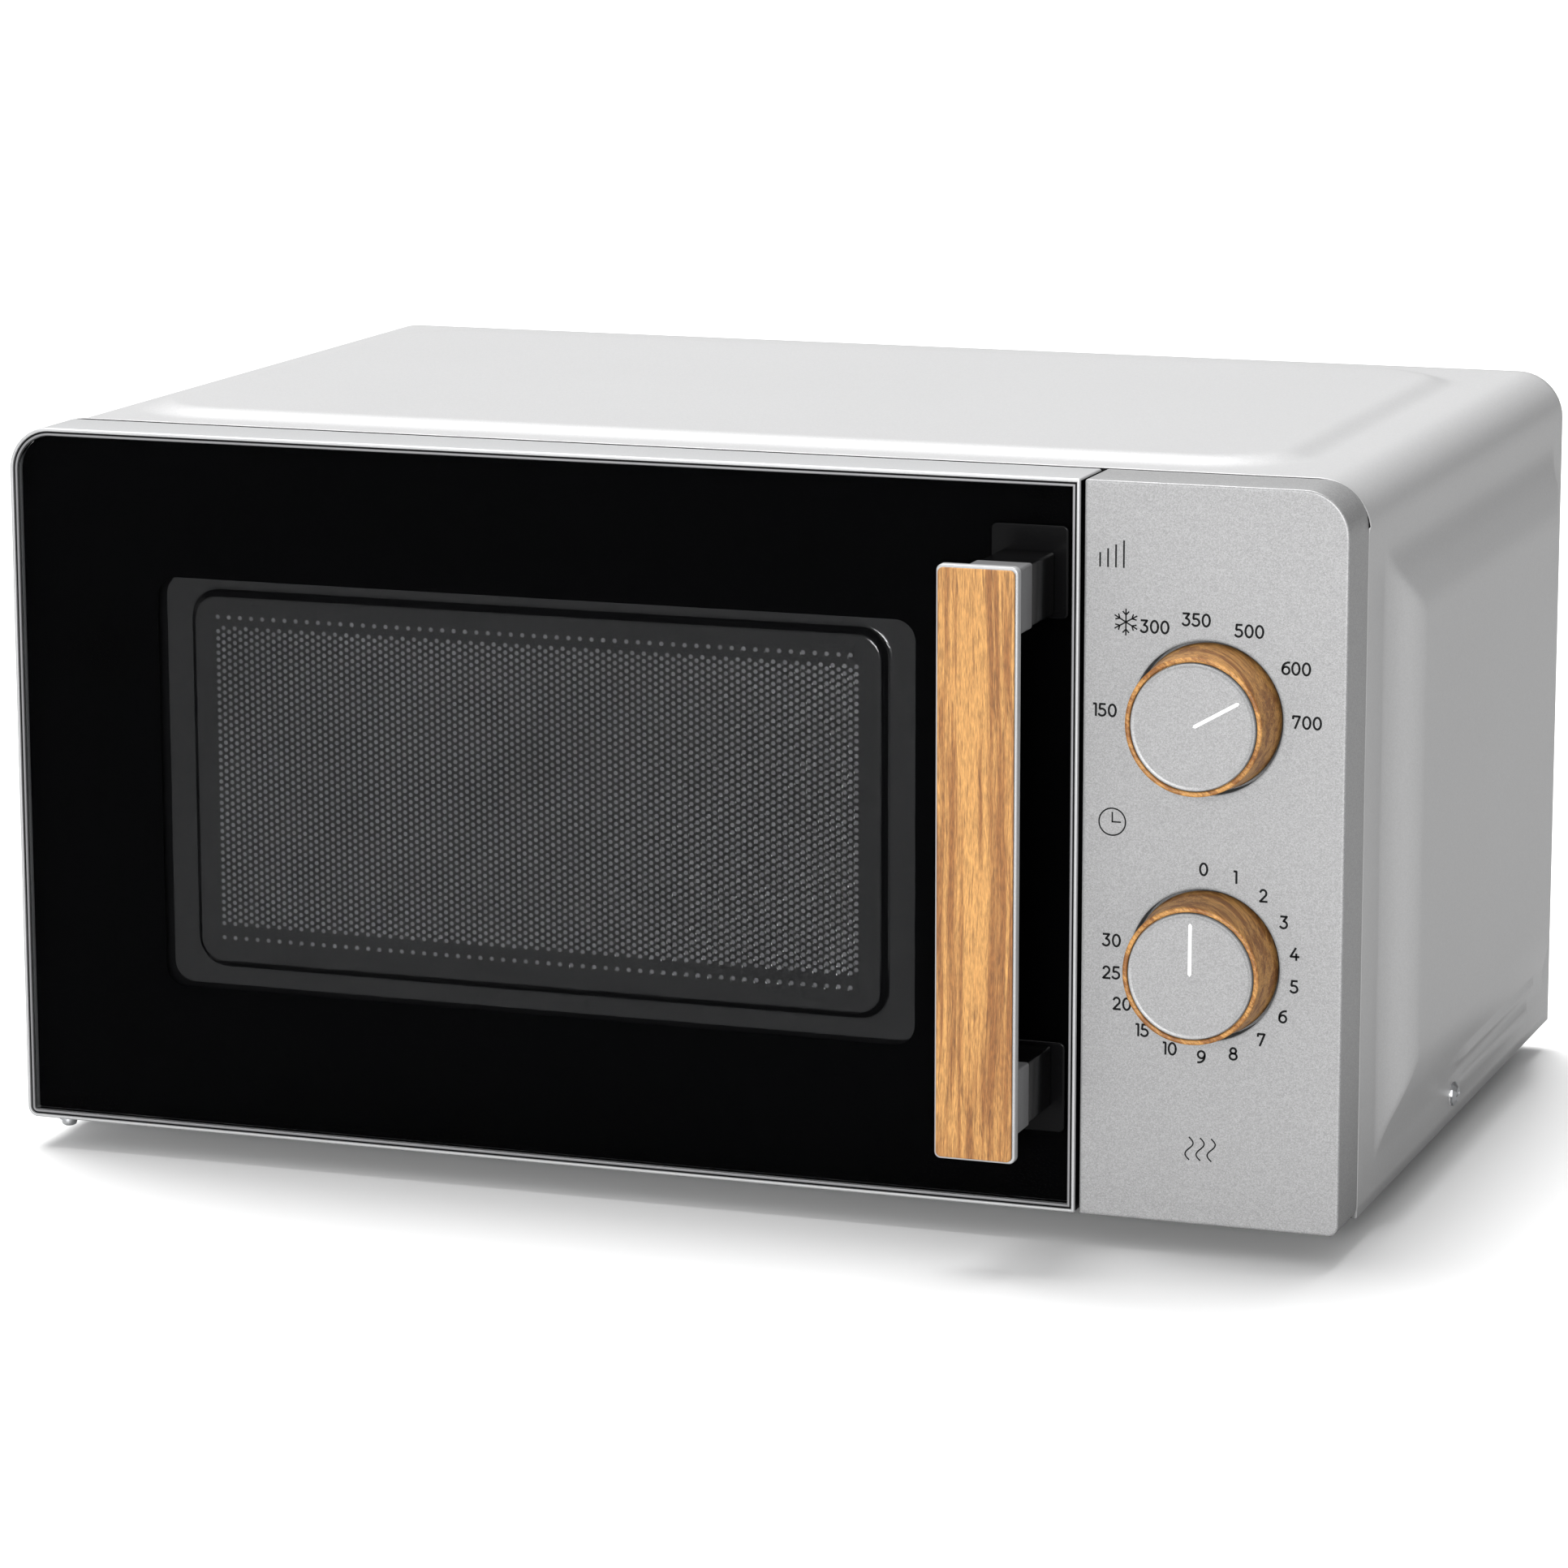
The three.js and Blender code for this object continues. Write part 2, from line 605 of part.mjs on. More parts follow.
add(oven, "front_frame", frontFrame(), enamel);
add(oven, "oven_cavity", ovenCavity(), enamel);
add(oven, "waveguide_cover", waveguideCover(), mica);
add(oven, "waveguide", waveguide(), zinc);
add(oven, "magnetron", magnetron(), darkSteel);
add(oven, "hv_transformer", transformer(), copper);
add(oven, "hv_capacitor", capacitor(), zinc);
add(oven, "fan_shroud", fanShroud(), whitePlastic);
add(oven, "fan_motor", fanMotor(), darkSteel);
add(oven, "fan_blade", fanBlade(), whitePlastic);
add(oven, "oven_lamp", ovenLamp(), clearGlass);
add(oven, "noise_filter_board", filterBoard(), board);

// ---- Turntable ----
const trayRadius = Math.min(cavity.x[1] - cavity.x[0], cavity.y[1] - cavity.y[0]) / 2 - trayGap;
const wheelCircle = trayRadius - wheel.inset; // radius the wheels run on
const axleZ = wheel.radius + clearance; // above the cavity's floor
const trayZ = 2 * wheel.radius + 2 * clearance; // tray's underside above the floor
const shaftSocket = 6;
const motorTop = -sheet - clearance; // below the floor

function turntableMotor() {
  const low = basePlateZ + sheet + clearance - cavity.z[0];
  const can = turned([[0, low], [24, low], [24.5, low + 1], [24.5, motorTop], [0, motorTop]], 28);
  return cut(can, rod("z", [0, 0], couplerShaft + runGap, [motorTop - shaftSocket, motorTop + 1], 16));
}

const couplerShaft = 3.5;
const lobeTop = trayZ - 2;
const lobeLow = 2;

// Three-lobed driver that stands up through the cavity's floor.
function turntableCoupler() {
  const shaft = rod("z", [0, 0], couplerShaft, [motorTop - shaftSocket + 1, lobeLow + 1], 16);
  const hub = rod("z", [0, 0], couplerRadius / 2, [lobeLow, lobeTop], 18);
  const lobes = [90, 210, 330].map((angle) => {
    const arm = new THREE.BoxGeometry(couplerRadius, 6, lobeTop - lobeLow);
    arm.translate(couplerRadius / 2, 0, (lobeTop + lobeLow) / 2);
    return solidOf(arm.rotateZ(THREE.MathUtils.degToRad(angle)));
  });
  return join(shaft, hub, ...lobes);
}

// Shallow dish with a turned-up rim; three lugs underneath sit between the driver's lobes.
function glassTray() {
  const flat = wheelCircle + wheel.width / 2 + 6;
  const rimZ = trayZ + 10;
  const dish = turned(
    [
      [0, trayZ],
      [flat, trayZ],
      [flat + 8, trayZ + 1.5],
      [trayRadius, rimZ - 1.5],
      [trayRadius, rimZ - 0.5],
      [trayRadius - 1.5, rimZ],
      [flat + 8, trayZ + plateThick + 1.2],
      [flat - 2, trayZ + plateThick],
      [0, trayZ + plateThick],
    ],
    44,
  );
  const lugs = [30, 150, 270].map((angle) => {
    const lug = new THREE.BoxGeometry(6, 5, 5).translate(couplerRadius - 3, 0, trayZ - 1.5);
    return solidOf(lug.rotateZ(THREE.MathUtils.degToRad(angle)));
  });
  return join(dish, ...lugs);
}

const ring = { inner: wheelCircle - 19, outer: wheelCircle - 9, low: 4.5, high: 10 };
const wheelAngles = [90, 210, 330];

// Guide ring with three stub axles.
function rollerRing() {
  const hoop = turned(
    [
      [ring.inner, ring.low],
      [ring.outer, ring.low],
      [ring.outer, ring.high],
      [ring.inner, ring.high],
      [ring.inner, ring.low],
    ],
    40,
  );
  const axles = wheelAngles.map((angle) => {
    const axle = new THREE.CylinderGeometry(wheel.axle, wheel.axle, wheelCircle + 5 - ring.outer + 2, 10);
    axle.rotateZ(Math.PI / 2).translate((wheelCircle + 5 + ring.outer - 2) / 2, 0, axleZ);
    return solidOf(axle.rotateZ(THREE.MathUtils.degToRad(angle)));
  });
  return join(hoop, ...axles);
}

// Wheel about its own X axis, its middle at the origin.
function rollerWheel() {
  const half = wheel.width / 2;
  const rim = prism("x", circle(0, 0, wheel.radius, 20), [-half, half], [circle(0, 0, wheel.axle + runGap, 12)]);
  return rim;
}

const turntable = new THREE.Group();
turntable.position.set(cavityMidX, cavityMidY, cavity.z[0]);
oven.add(turntable);
add(turntable, "turntable_motor", turntableMotor(), zinc);
add(turntable, "turntable_coupler", turntableCoupler(), whitePlastic);
add(turntable, "glass_tray", glassTray(), clearGlass);
add(turntable, "roller_ring", rollerRing(), whitePlastic);
wheelAngles.forEach((degrees, i) => {
  const angle = THREE.MathUtils.degToRad(degrees);
  const place = [wheelCircle * Math.cos(angle), wheelCircle * Math.sin(angle), axleZ];
  add(turntable, `roller_wheel_${i + 1}`, rollerWheel(), whitePlastic, place).rotation.z = angle;
});

// ---- Door ----
const doorSpanX = [leftX, doorX1];
const doorSpanZ = [bottomZ, topZ];
const doorCorners = [lowerCorner, innerCorner, innerCorner, frontCorner];
const doorBackY = faceY + frontDepth;
const shrink = ([a, b], by) => [a + by, b - by];
const doorOutline = (inset) =>
  rounded(
    shrink(doorSpanX, inset),
    shrink(doorSpanZ, inset),
    doorCorners.map((radius) => Math.max(radius - inset, 0)),
  );

// Rim of the door. Its rear left corner is rounded off about the hinge axis, so that it clears the casing.
function doorBezel() {
  const ring = prism("y", doorOutline(0), [faceY, doorBackY], [doorOutline(rim)]);
  const boss = box(
    [leftX + rim - 1, hingeX + 6],
    [hingeY - 5, hingeY + 5],
    [topZ - hinge.drop, topZ - rim - 1],
  );
  const bore = (z0, z1) => rod("z", [hingeX, hingeY], hinge.pin + runGap, [z0, z1], 16);
  const low = Math.acos(hinge.x / hinge.relief) * (180 / Math.PI);
  const corner = [
    new THREE.Vector2(hingeX, doorBackY + 1),
    ...arc(hingeX, hingeY, hinge.relief, 90, 180 - low, 5),
    new THREE.Vector2(leftX - 1, hingeY + hinge.relief * Math.sin(THREE.MathUtils.degToRad(low))),
    new THREE.Vector2(leftX - 1, doorBackY + 1),
  ];
  const plateSlot = box(
    [leftX - 1, hingeX + hinge.half + 2],
    [hingeY - hinge.half - 1, doorBackY + 1],
    [upperPlateZ - 0.6, topZ - hinge.drop + 0.2],
  );
  return cut(
    join(ring, boss),
    prism("z", corner, [bottomZ - 1, topZ + 1]),
    bore(bottomZ - 1, bottomZ + rim + 1),
    bore(topZ - hinge.drop - 1, topZ - hinge.drop + 4),
    plateSlot,
  );
}

const handleX = doorX1 - handle.fromRight;
const postX = handleX + (handle.width - post.width) / 2 - postInset;
const plateX = postX + postPlate.shift;
const barZ = [bottomZ + handle.bottom, topZ - handle.top];
const postZs = { lower: barZ[0] + post.low, upper: barZ[1] - post.high };
const glassY = [faceY + glassSink, faceY + glassSink + glassThick];

function doorGlass() {
  const holes = Object.values(postZs).map((z) => circle(postX, z, handleScrew + clearance, 12));
  return prism("y", doorOutline(rim + clearance), glassY, holes);
}

const screenX = [leftX + screenMargin.left, doorX1 - screenMargin.right];
const screenZ = [bottomZ + screenMargin.bottom, topZ - screenMargin.top];
const windowX = [leftX + window.left, doorX1 - window.right];
const windowZ = [bottomZ + window.bottom, topZ - window.top];

// Pressed steel screen: a tray that opens backwards, with the viewing field pushed towards the glass.
function doorScreen() {
  const flat = faceY + screenFront;
  const pad = (shift) => {
    const ringAt = (grow, y) =>
      rounded(shrink(windowX, 9 - grow), shrink(windowZ, 6 - grow), window.corner + grow, 3).map(
        (point) => new THREE.Vector3(point.x, y + shift, point.y),
      );
    return loft(ringAt(4, flat + 0.5), ringAt(0, flat - screenEmboss));
  };
  const shell = box(screenX, [flat, flat + screenFlange], screenZ);
  const hollow = box(shrink(screenX, sheet), [flat + sheet, flat + screenFlange + 1], shrink(screenZ, sheet));
  return cut(join(shell, pad(0)), hollow, pad(sheet));
}

function doorFilm() {
  const y = faceY + screenFront + sheet + clearance;
  return prism("y", rounded(shrink(screenX, 8), shrink(screenZ, 8), 6), [y, y + 0.8]);
}

const coverY = [doorBackY - coverThick - 0.4, doorBackY - 0.4];
const springPost = { z0: topZ - 26, z1: topZ - 22 };

// Plastic cover over the back of the door, open at the window, with the hooks' slots and the spring's post.
function chokeCover() {
  const grow = 3;
  const opening = rounded(
    [windowX[0] - grow, windowX[1] + grow],
    [windowZ[0] - grow, windowZ[1] + grow],
    window.corner,
  );
  const hookSlots = Object.values(hookZs).map((z) =>
    rounded(
      [hookMidX - hook.width / 2 - 1, hookMidX + hook.width / 2 + 1],
      [z - hook.arm / 2 - 1, z + hook.arm / 2 + latchLift + 1],
      0,
    ),
  );
  const plate = prism("y", doorOutline(rim + clearance), coverY, [opening, ...hookSlots]);
  const hingeNotch = box(
    [leftX, hingeX + hinge.half + 6],
    [coverY[0] - 1, coverY[1] + 1],
    [upperPlateZ - 1, topZ],
  );
  const lowNotch = box([leftX, hingeX], [coverY[0] - 1, coverY[1] + 1], [bottomZ, topZ]);
  const springSeat = box(
    [hookMidX - carrier.width / 2, hookMidX + carrier.width / 2],
    [faceY + carrier.y0, coverY[0] + 1],
    [springPost.z0, springPost.z1],
  );
  return cut(join(plate, springSeat), hingeNotch, lowNotch);
}

// Silver bar with two stubs that reach back to the posts.
function handleBar() {
  const back = faceY - handleReach + handle.strip + clearance + handle.bar;
  const bar = prism(
    "y",
    rounded([handleX - handle.width / 2, handleX + handle.width / 2], barZ, 2, 2),
    [back - handle.bar, back],
  );
  const stubs = Object.values(postZs).map((z) =>
    box(
      [postX - post.width / 2, postX + post.width / 2],
      [back - 1, back + post.collar],
      [z - post.height / 2, z + post.height / 2],
    ),
  );
  return join(bar, ...stubs);
}

function handleStrip() {
  const y = faceY - handleReach;
  const across = [handleX - handle.width / 2 + handle.stripEdge, handleX + handle.width / 2 - handle.stripEdge];
  return prism("y", rounded(across, shrink(barZ, handle.stripEdge), 1.6, 2), [y, y + handle.strip]);
}

const plateY = [faceY + glassSink - clearance - postPlate.thick, faceY + glassSink - clearance];
const collarBack = faceY - handleReach + handle.strip + clearance + handle.bar + post.collar;

// Plate between post and glass; the upper one stands above its post and the lower one below it.
function handlePlate(z, direction) {
  const middle = z + direction * 4;
  const outline = rounded(
    [plateX - postPlate.width / 2, plateX + postPlate.width / 2],
    [middle - postPlate.height / 2, middle + postPlate.height / 2],
    1.5,
    2,
  );
  return prism("y", outline, plateY, [circle(postX, z, handleScrew + clearance, 12)]);
}

function handlePost(z) {
  const y = [collarBack + clearance, plateY[0] - clearance];
  const half = { x: post.width / 2 - 0.3, z: post.height / 2 - 0.3 };
  const block = prism("y", rounded([postX - half.x, postX + half.x], [z - half.z, z + half.z], 1, 2), y);
  return cut(block, rod("y", [postX, z], handleScrew + clearance, [y[1] - 12, y[1] + 1], 12));
}

add(oven, "door_bezel", doorBezel(), silverTrim);
add(oven, "door_glass", doorGlass(), glass);
add(oven, "door_screen", doorScreen(), black);
add(oven, "door_film", doorFilm(), clearGlass);
add(oven, "choke_cover", chokeCover(), black);
add(oven, "handle_bar", handleBar(), silverTrim);
add(oven, "handle_strip", handleStrip(), wood);
for (const [side, direction] of [["lower", -1], ["upper", 1]]) {
  add(oven, `handle_plate_${side}`, handlePlate(postZs[side], direction), black);
  add(oven, `handle_post_${side}`, handlePost(postZs[side]), black);
}

// ---- Hinge brackets ----

// Plate through the front frame, its tab behind the frame, its pin up into the bezel's boss.
function upperHinge() {
  const x = [hingeX - hinge.half, hingeX + hinge.half];
  const z = [upperPlateZ, upperPlateZ + hinge.plate];
  const tabY = frameY1 + clearance;
  const nose = rod("z", [hingeX, hingeY], hinge.half, z, 20);
  const plate = box(x, [hingeY, tabY + hinge.plate], z);
  const tab = box(x, [tabY, tabY + hinge.plate], [z[0] - 18, z[1]]);
  const pin = rod("z", [hingeX, hingeY], hinge.pin, [z[0] + 0.5, z[1] + 3.5], 16);
  return join(nose, plate, tab, pin);
}

// Plate under the door, stepped up to the base plate behind it.
function lowerHinge() {
  const x = [hingeX - hinge.half, hingeX + hinge.half];
  const z = [bottomZ - hinge.plate - 0.8, bottomZ - 0.8];
  const stepY = frameY1 + 4;
  const top = basePlateZ - clearance;
  const nose = rod("z", [hingeX, hingeY], hinge.half, z, 20);
  const front = box(x, [hingeY, stepY + hinge.plate], z);
  const riser = box(x, [stepY, stepY + hinge.plate], [z[0], top]);
  const rear = box(x, [stepY, stepY + 22], [top - hinge.plate, top]);
  const pin = rod("z", [hingeX, hingeY], hinge.pin, [z[0] + 0.5, bottomZ + rim + 1], 16);
  return join(nose, front, riser, rear, pin);
}

add(oven, "upper_hinge", upperHinge(), zinc);
add(oven, "lower_hinge", lowerHinge(), zinc);

// ---- Latch and interlock ----

// One bar with two hooks whose noses point down behind the front frame.
function latchCarrier() {
  const span = [hookZs.lower - 14, hookZs.upper + 10];
  const bar = box(
    [hookMidX - carrier.width / 2, hookMidX + carrier.width / 2],
    [faceY + carrier.y0, faceY + carrier.y1],
    span,
  );
  const half = hook.arm / 2;
  const hooks = Object.values(hookZs).map((z) =>
    prism(
      "x",
      polygon(
        [faceY + carrier.y1 - 1, z - half],
        [faceY + hook.reach - 7, z - half],
        [faceY + hook.reach - 7, z - half - hook.nose],
        [faceY + hook.reach - 3, z - half - hook.nose],
        [faceY + hook.reach, z - half],
        [faceY + hook.reach, z],
        [faceY + hook.reach - 6, z + half],
        [faceY + carrier.y1 - 1, z + half],
      ),
      [hookMidX - hook.width / 2, hookMidX + hook.width / 2],
    ),
  );
  return join(bar, ...hooks);
}

class Helix extends THREE.Curve {
  constructor(radius, height, coils) {
    super();
    Object.assign(this, { radius, height, coils });
  }
  getPoint(t, target = new THREE.Vector3()) {
    const angle = 2 * Math.PI * this.coils * t;
    return target.set(this.radius * Math.cos(angle), this.radius * Math.sin(angle), this.height * t);
  }
}

// Coil spring that presses the carrier down.
function latchSpring() {
  const wire = 0.45;
  const coils = 4;
  const length = springPost.z0 - (hookZs.upper + 10) - 2 * clearance - 2 * wire;
  const section = new THREE.Shape(circle(0, 0, wire, 6));
  const path = new Helix(3, length, coils);
  return solidOf(new THREE.ExtrudeGeometry(section, { steps: coils * 12, extrudePath: path }));
}

const bracketX = hookMidX + hook.width / 2 + slotPad + 3;
const switchY = faceY + hook.reach + 6;
const plungerRadius = 1.4;
const switchTop = 5;

// Side plate with a shelf under each hook and a back plate that holds each switch.
function interlockBracket() {
  const side = box([bracketX, bracketX + 1.5], [frameY1 + clearance, switchY + 20], [hookZs.lower - 24, hookZs.upper + 16]);
  const shelves = Object.values(hookZs).map((z) => {
    const top = z - hook.arm / 2 - hook.nose - 1.5;
    return box([hookMidX - 5, bracketX + 1], [frameY1 + clearance, switchY + 18], [top - 2, top]);
  });
  return join(side, ...shelves);
}

function interlockSwitch(z) {
  const body = box(
    [hookMidX - 6, bracketX - clearance],
    [switchY, switchY + 16],
    [z - hook.arm / 2 - hook.nose - 1.5 + clearance, z + switchTop],
  );
  const tab = (at) => box([hookMidX + at, hookMidX + at + 0.8], [switchY + 15, switchY + 21], [z - 3, z + 3]);
  const bore = rod("y", [hookMidX, z - 1.5], plungerRadius + runGap, [switchY - 1, switchY + 5], 12);
  return cut(join(body, tab(-4), tab(2)), bore);
}

const plunger = (z) =>
  rod("y", [hookMidX, z - 1.5], plungerRadius, [faceY + hook.reach + clearance, switchY + 3], 12);

add(oven, "latch_carrier", latchCarrier(), black);
add(oven, "latch_spring", latchSpring(), zinc, [
  hookMidX,
  faceY + (carrier.y0 + carrier.y1) / 2,
  hookZs.upper + 10 + clearance + 0.45,
]);
add(oven, "interlock_bracket", interlockBracket(), black);
for (const side of ["lower", "upper"]) {
  add(oven, `interlock_switch_${side}`, interlockSwitch(hookZs[side]), black);
  add(oven, `switch_plunger_${side}`, plunger(hookZs[side]), whitePlastic);
}

// ---- Control panel and dials ----
const panelWall = 2.2;
const panelDepth = frontDepth + doorBackGap - clearance;
const panelSpanX = [panelX0, rightX];
const panelOutline = (inset) =>
  rounded(
    shrink(panelSpanX, inset),
    shrink(doorSpanZ, inset),
    [innerCorner, lowerCorner, frontCorner, innerCorner].map((radius) => Math.max(radius - inset, 0)),
  );
const dialZs = { timer: bottomZ + dial.timerZ, power: bottomZ + dial.powerZ };

function controlPanel() {
  const shell = prism("y", panelOutline(0), [faceY, faceY + panelDepth]);
  const pocket = prism("y", panelOutline(panelWall), [faceY + panelWall, faceY + panelDepth + 1]);
  const cupBack = faceY + dial.recessDepth + panelWall;
  const cups = Object.values(dialZs).map((z) =>
    rod("y", [dialX, z], dial.recess + panelWall, [faceY + panelWall - 1, cupBack], 32),
  );
  const recesses = Object.values(dialZs).flatMap((z) => [
    rod("y", [dialX, z], dial.recess, [faceY - 1, faceY + dial.recessDepth], 32),
    rod("y", [dialX, z], dial.shaft + 1, [faceY, cupBack + 1], 16),
  ]);
  return cut(join(cut(shell, pocket), ...cups), ...recesses);
}

// Knob with a wood-look flank, turned about Y; y = 0 is the panel's face.
function knob() {
  const front = -dial.reach;
  const seat = front + 2;
  const web = seat + 3;
  return turned(
    [
      [0, seat],
      [dial.cap + clearance, seat],
      [dial.cap + clearance, front + 0.2],
      [dial.lip - 0.4, front],
      [dial.lip, front + 0.5],
      [dial.lip + 0.7, front * 0.4],
      [dial.base, dial.skirt],
      [dial.base - 2, dial.skirt],
      [dial.cap, web],
      [dial.hub, web],
      [dial.hub, dial.skirt],
      [dial.shaft + clearance, dial.skirt],
      [dial.shaft + clearance, web + 0.5],
      [0, web + 0.5],
    ],
    32,
    "y",
  );
}

// Silver face of the knob with its pointer line.
function knobCap() {
  const front = -dial.reach - 0.2;
  const disc = rod("y", [0, 0], dial.cap, [front, front + 2 - clearance + 0.2], 36);
  const groove = box([-0.5, 0.5], [front - 1, front + 0.5], [0, dial.cap - 2.5]);
  return cut(disc, groove);
}

const unitFront = faceY + dial.recessDepth + panelWall + clearance;
const shaftEnd = unitFront - faceY + 8;

function dialShaft() {
  const inKnob = -dial.reach + 5.5 + clearance;
  const shaft = rod("y", [0, 0], dial.shaft, [inKnob, shaftEnd], 18);
  const flat = box([-4, 4], [inKnob - 1, dial.skirt + 2], [dial.shaft - 0.8, 5]);
  return cut(shaft, flat);
}

// Body of a rotary unit: gear case behind a mounting plate, with push-on terminals.
function rotaryUnit(half, depth, tabs) {
  const plate = box([-half - 4, half + 4], [unitFront, unitFront + 2], [-half, half]);
  const body = box([-half, half], [unitFront + 1, unitFront + depth], [-half + 2, half - 2]);
  const blades = tabs.map((at) =>
    box([at - 3, at + 3], [unitFront + depth - 1, unitFront + depth + 8], [-half + 8, -half + 8.8]),
  );
  const socket = rod("y", [0, 0], dial.shaft + runGap, [unitFront - 1, faceY + shaftEnd + 1], 18);
  return { solid: cut(join(plate, body, ...blades), socket), backY: unitFront + depth };
}

// The timer also carries its bell, on a post behind the body.
function timerUnit() {
  const { solid, backY: rear } = rotaryUnit(24, 30, [-12, 12]);
  const postRod = rod("y", [0, 8], 2.5, [rear - 1, rear + 5], 12);
  const bell = turned(
    [
      [0, rear + 11],
      [9, rear + 9],
      [13, rear + 4],
      [12, rear + 4],
      [8, rear + 7.5],
      [0, rear + 9],
    ],
    20,
    "y",
  ).translate([0, 0, 8]);
  return join(solid, postRod, rod("y", [0, 8], 2, [rear + 4, rear + 10], 12), bell);
}

add(oven, "control_panel", controlPanel(), silver);
add(oven, "power_switch_unit", rotaryUnit(22, 24, [-14, 0, 14]).solid, whitePlastic, [dialX, 0, dialZs.power]);
add(oven, "timer_unit", timerUnit(), whitePlastic, [dialX, 0, dialZs.timer]);
for (const [side, angle] of [["power", dial.powerAngle], ["timer", 0]]) {
  const group = new THREE.Group();
  group.position.set(dialX, faceY, dialZs[side]);
  group.rotation.y = THREE.MathUtils.degToRad(angle);
  add(group, `${side}_knob`, knob(), wood);
  add(group, `${side}_knob_cap`, knobCap(), silverTrim);
  add(group, `${side}_shaft`, dialShaft(), zinc);
  oven.add(group);
}

export default oven;
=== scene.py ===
import json
import bpy
import numpy as np
from mathutils import Matrix, Vector
from mathutils.geometry import tessellate_polygon


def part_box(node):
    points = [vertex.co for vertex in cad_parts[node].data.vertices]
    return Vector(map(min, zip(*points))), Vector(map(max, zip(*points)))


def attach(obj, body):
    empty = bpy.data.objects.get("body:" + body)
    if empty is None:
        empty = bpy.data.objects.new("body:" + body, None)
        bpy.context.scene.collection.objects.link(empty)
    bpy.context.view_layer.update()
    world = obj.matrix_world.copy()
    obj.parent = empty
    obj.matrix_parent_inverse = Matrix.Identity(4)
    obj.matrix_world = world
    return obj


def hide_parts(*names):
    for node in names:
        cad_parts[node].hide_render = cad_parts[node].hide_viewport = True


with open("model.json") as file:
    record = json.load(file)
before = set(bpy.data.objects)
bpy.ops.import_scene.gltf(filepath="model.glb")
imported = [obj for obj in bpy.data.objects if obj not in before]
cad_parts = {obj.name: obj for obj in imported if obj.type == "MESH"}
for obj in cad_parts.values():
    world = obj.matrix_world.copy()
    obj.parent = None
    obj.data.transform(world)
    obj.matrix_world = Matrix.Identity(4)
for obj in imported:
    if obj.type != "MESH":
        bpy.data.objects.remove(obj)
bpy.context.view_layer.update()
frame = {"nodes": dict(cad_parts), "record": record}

mm = 0.001


def nodeBox(node):
    low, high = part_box(node)
    return np.array(low) / mm, np.array(high) / mm  # all shapes below are worked out in millimetres


def spans(low, high):   # of a box, across and up
    return (low[0], high[0]), (low[2], high[2])


studio = {
    "azimuth": 19.7, "elevation": 11.38, "roll": -0.11,   # degrees
    "place": (651.5, -1828.6, 505.0),                      # mm
    "lens": 132.65,
    "floor": {"seen": 0.92, "mirrored": 0.45, "bounce": 0.42},   # darker to the light it sends back up
    "room": {"toward": (-0.6, -0.3, 0.74), "dark": 0.06, "bright": 0.66},
    "suns": {   # strength, softness in degrees, and the direction the light comes from
        "overhead": (4.2, 42, (-0.22, 0.26, 0.94)),
        "front": (3.8, 24, (0.07, -0.98, 0.13)),
    },
}


def makeStudio():
    scene = bpy.context.scene
    scene.view_settings.view_transform = "Standard"
    camera = bpy.data.objects.new("camera", bpy.data.cameras.new("camera"))
    scene.collection.objects.link(camera)
    camera.data.lens = studio["lens"]
    camera.data.sensor_width = 36
    camera.data.clip_end = 200
    turn = np.radians([studio["azimuth"], 90 - studio["elevation"], studio["roll"]])
    placed = Matrix.Translation(Vector(studio["place"]) * mm)
    for angle, axis in zip(turn, "ZXZ"):
        placed = placed @ Matrix.Rotation(angle, 4, axis)
    camera.matrix_world = placed
    scene.camera = camera

    world = bpy.data.worlds.new("softRoom")   # brightest overhead and to the left, darker to the right
    world.use_nodes = True
    wire = Wiring(world.node_tree)
    room = studio["room"]
    facing = wire("ShaderNodeVectorMath", {"operation": "DOT_PRODUCT"},
                  i0=wire("ShaderNodeTexCoord").outputs["Generated"], i1=room["toward"])
    level = wire.span(facing.outputs["Value"], room["dark"], room["bright"], -0.6, 0.95)
    background = world.node_tree.nodes["Background"]
    background.inputs["Color"].default_value = (1, 1, 1, 1)
    wire.feed(background, "Strength", level)
    scene.world = world
    for name, (strength, softness, direction) in studio["suns"].items():
        lamp = bpy.data.lights.new(name + "Light", "SUN")
        lamp.energy, lamp.angle = strength, np.radians(softness)
        light = bpy.data.objects.new(name + "Light", lamp)
        light.rotation_euler = Vector(direction).to_track_quat("Z", "Y").to_euler()
        scene.collection.objects.link(light)

    bpy.ops.mesh.primitive_plane_add(size=60)
    floor = bpy.context.object
    floor.name = "floor"
    paint = bpy.data.materials.new("paleFloor")
    paint.use_nodes = True
    shader = paint.node_tree.nodes["Principled BSDF"]
    wire = Wiring(paint.node_tree)
    path, floorTone = wire("ShaderNodeLightPath"), studio["floor"]
    indirect = wire.mix(path.outputs["Is Glossy Ray"], grey(floorTone["bounce"]), grey(floorTone["mirrored"]))
    wire.feed(shader, "Base Color", wire.mix(path.outputs["Is Camera Ray"], indirect,
                                             grey(floorTone["seen"])))
    shader.inputs["Roughness"].default_value = 0.9
    shader.inputs["Specular IOR Level"].default_value = 0.1
    floor.data.materials.append(paint)
    print("studio is up")


def newGroup(name, inputs, outputs):
    group = bpy.data.node_groups.new(name, "ShaderNodeTree")
    for label, kind, value in inputs:
        socket = group.interface.new_socket(name=label, in_out="INPUT", socket_type="NodeSocket" + kind)
        if value is not None:
            socket.default_value = value
    for label, kind in outputs:
        group.interface.new_socket(name=label, in_out="OUTPUT", socket_type="NodeSocket" + kind)
    return group, Wiring(group)


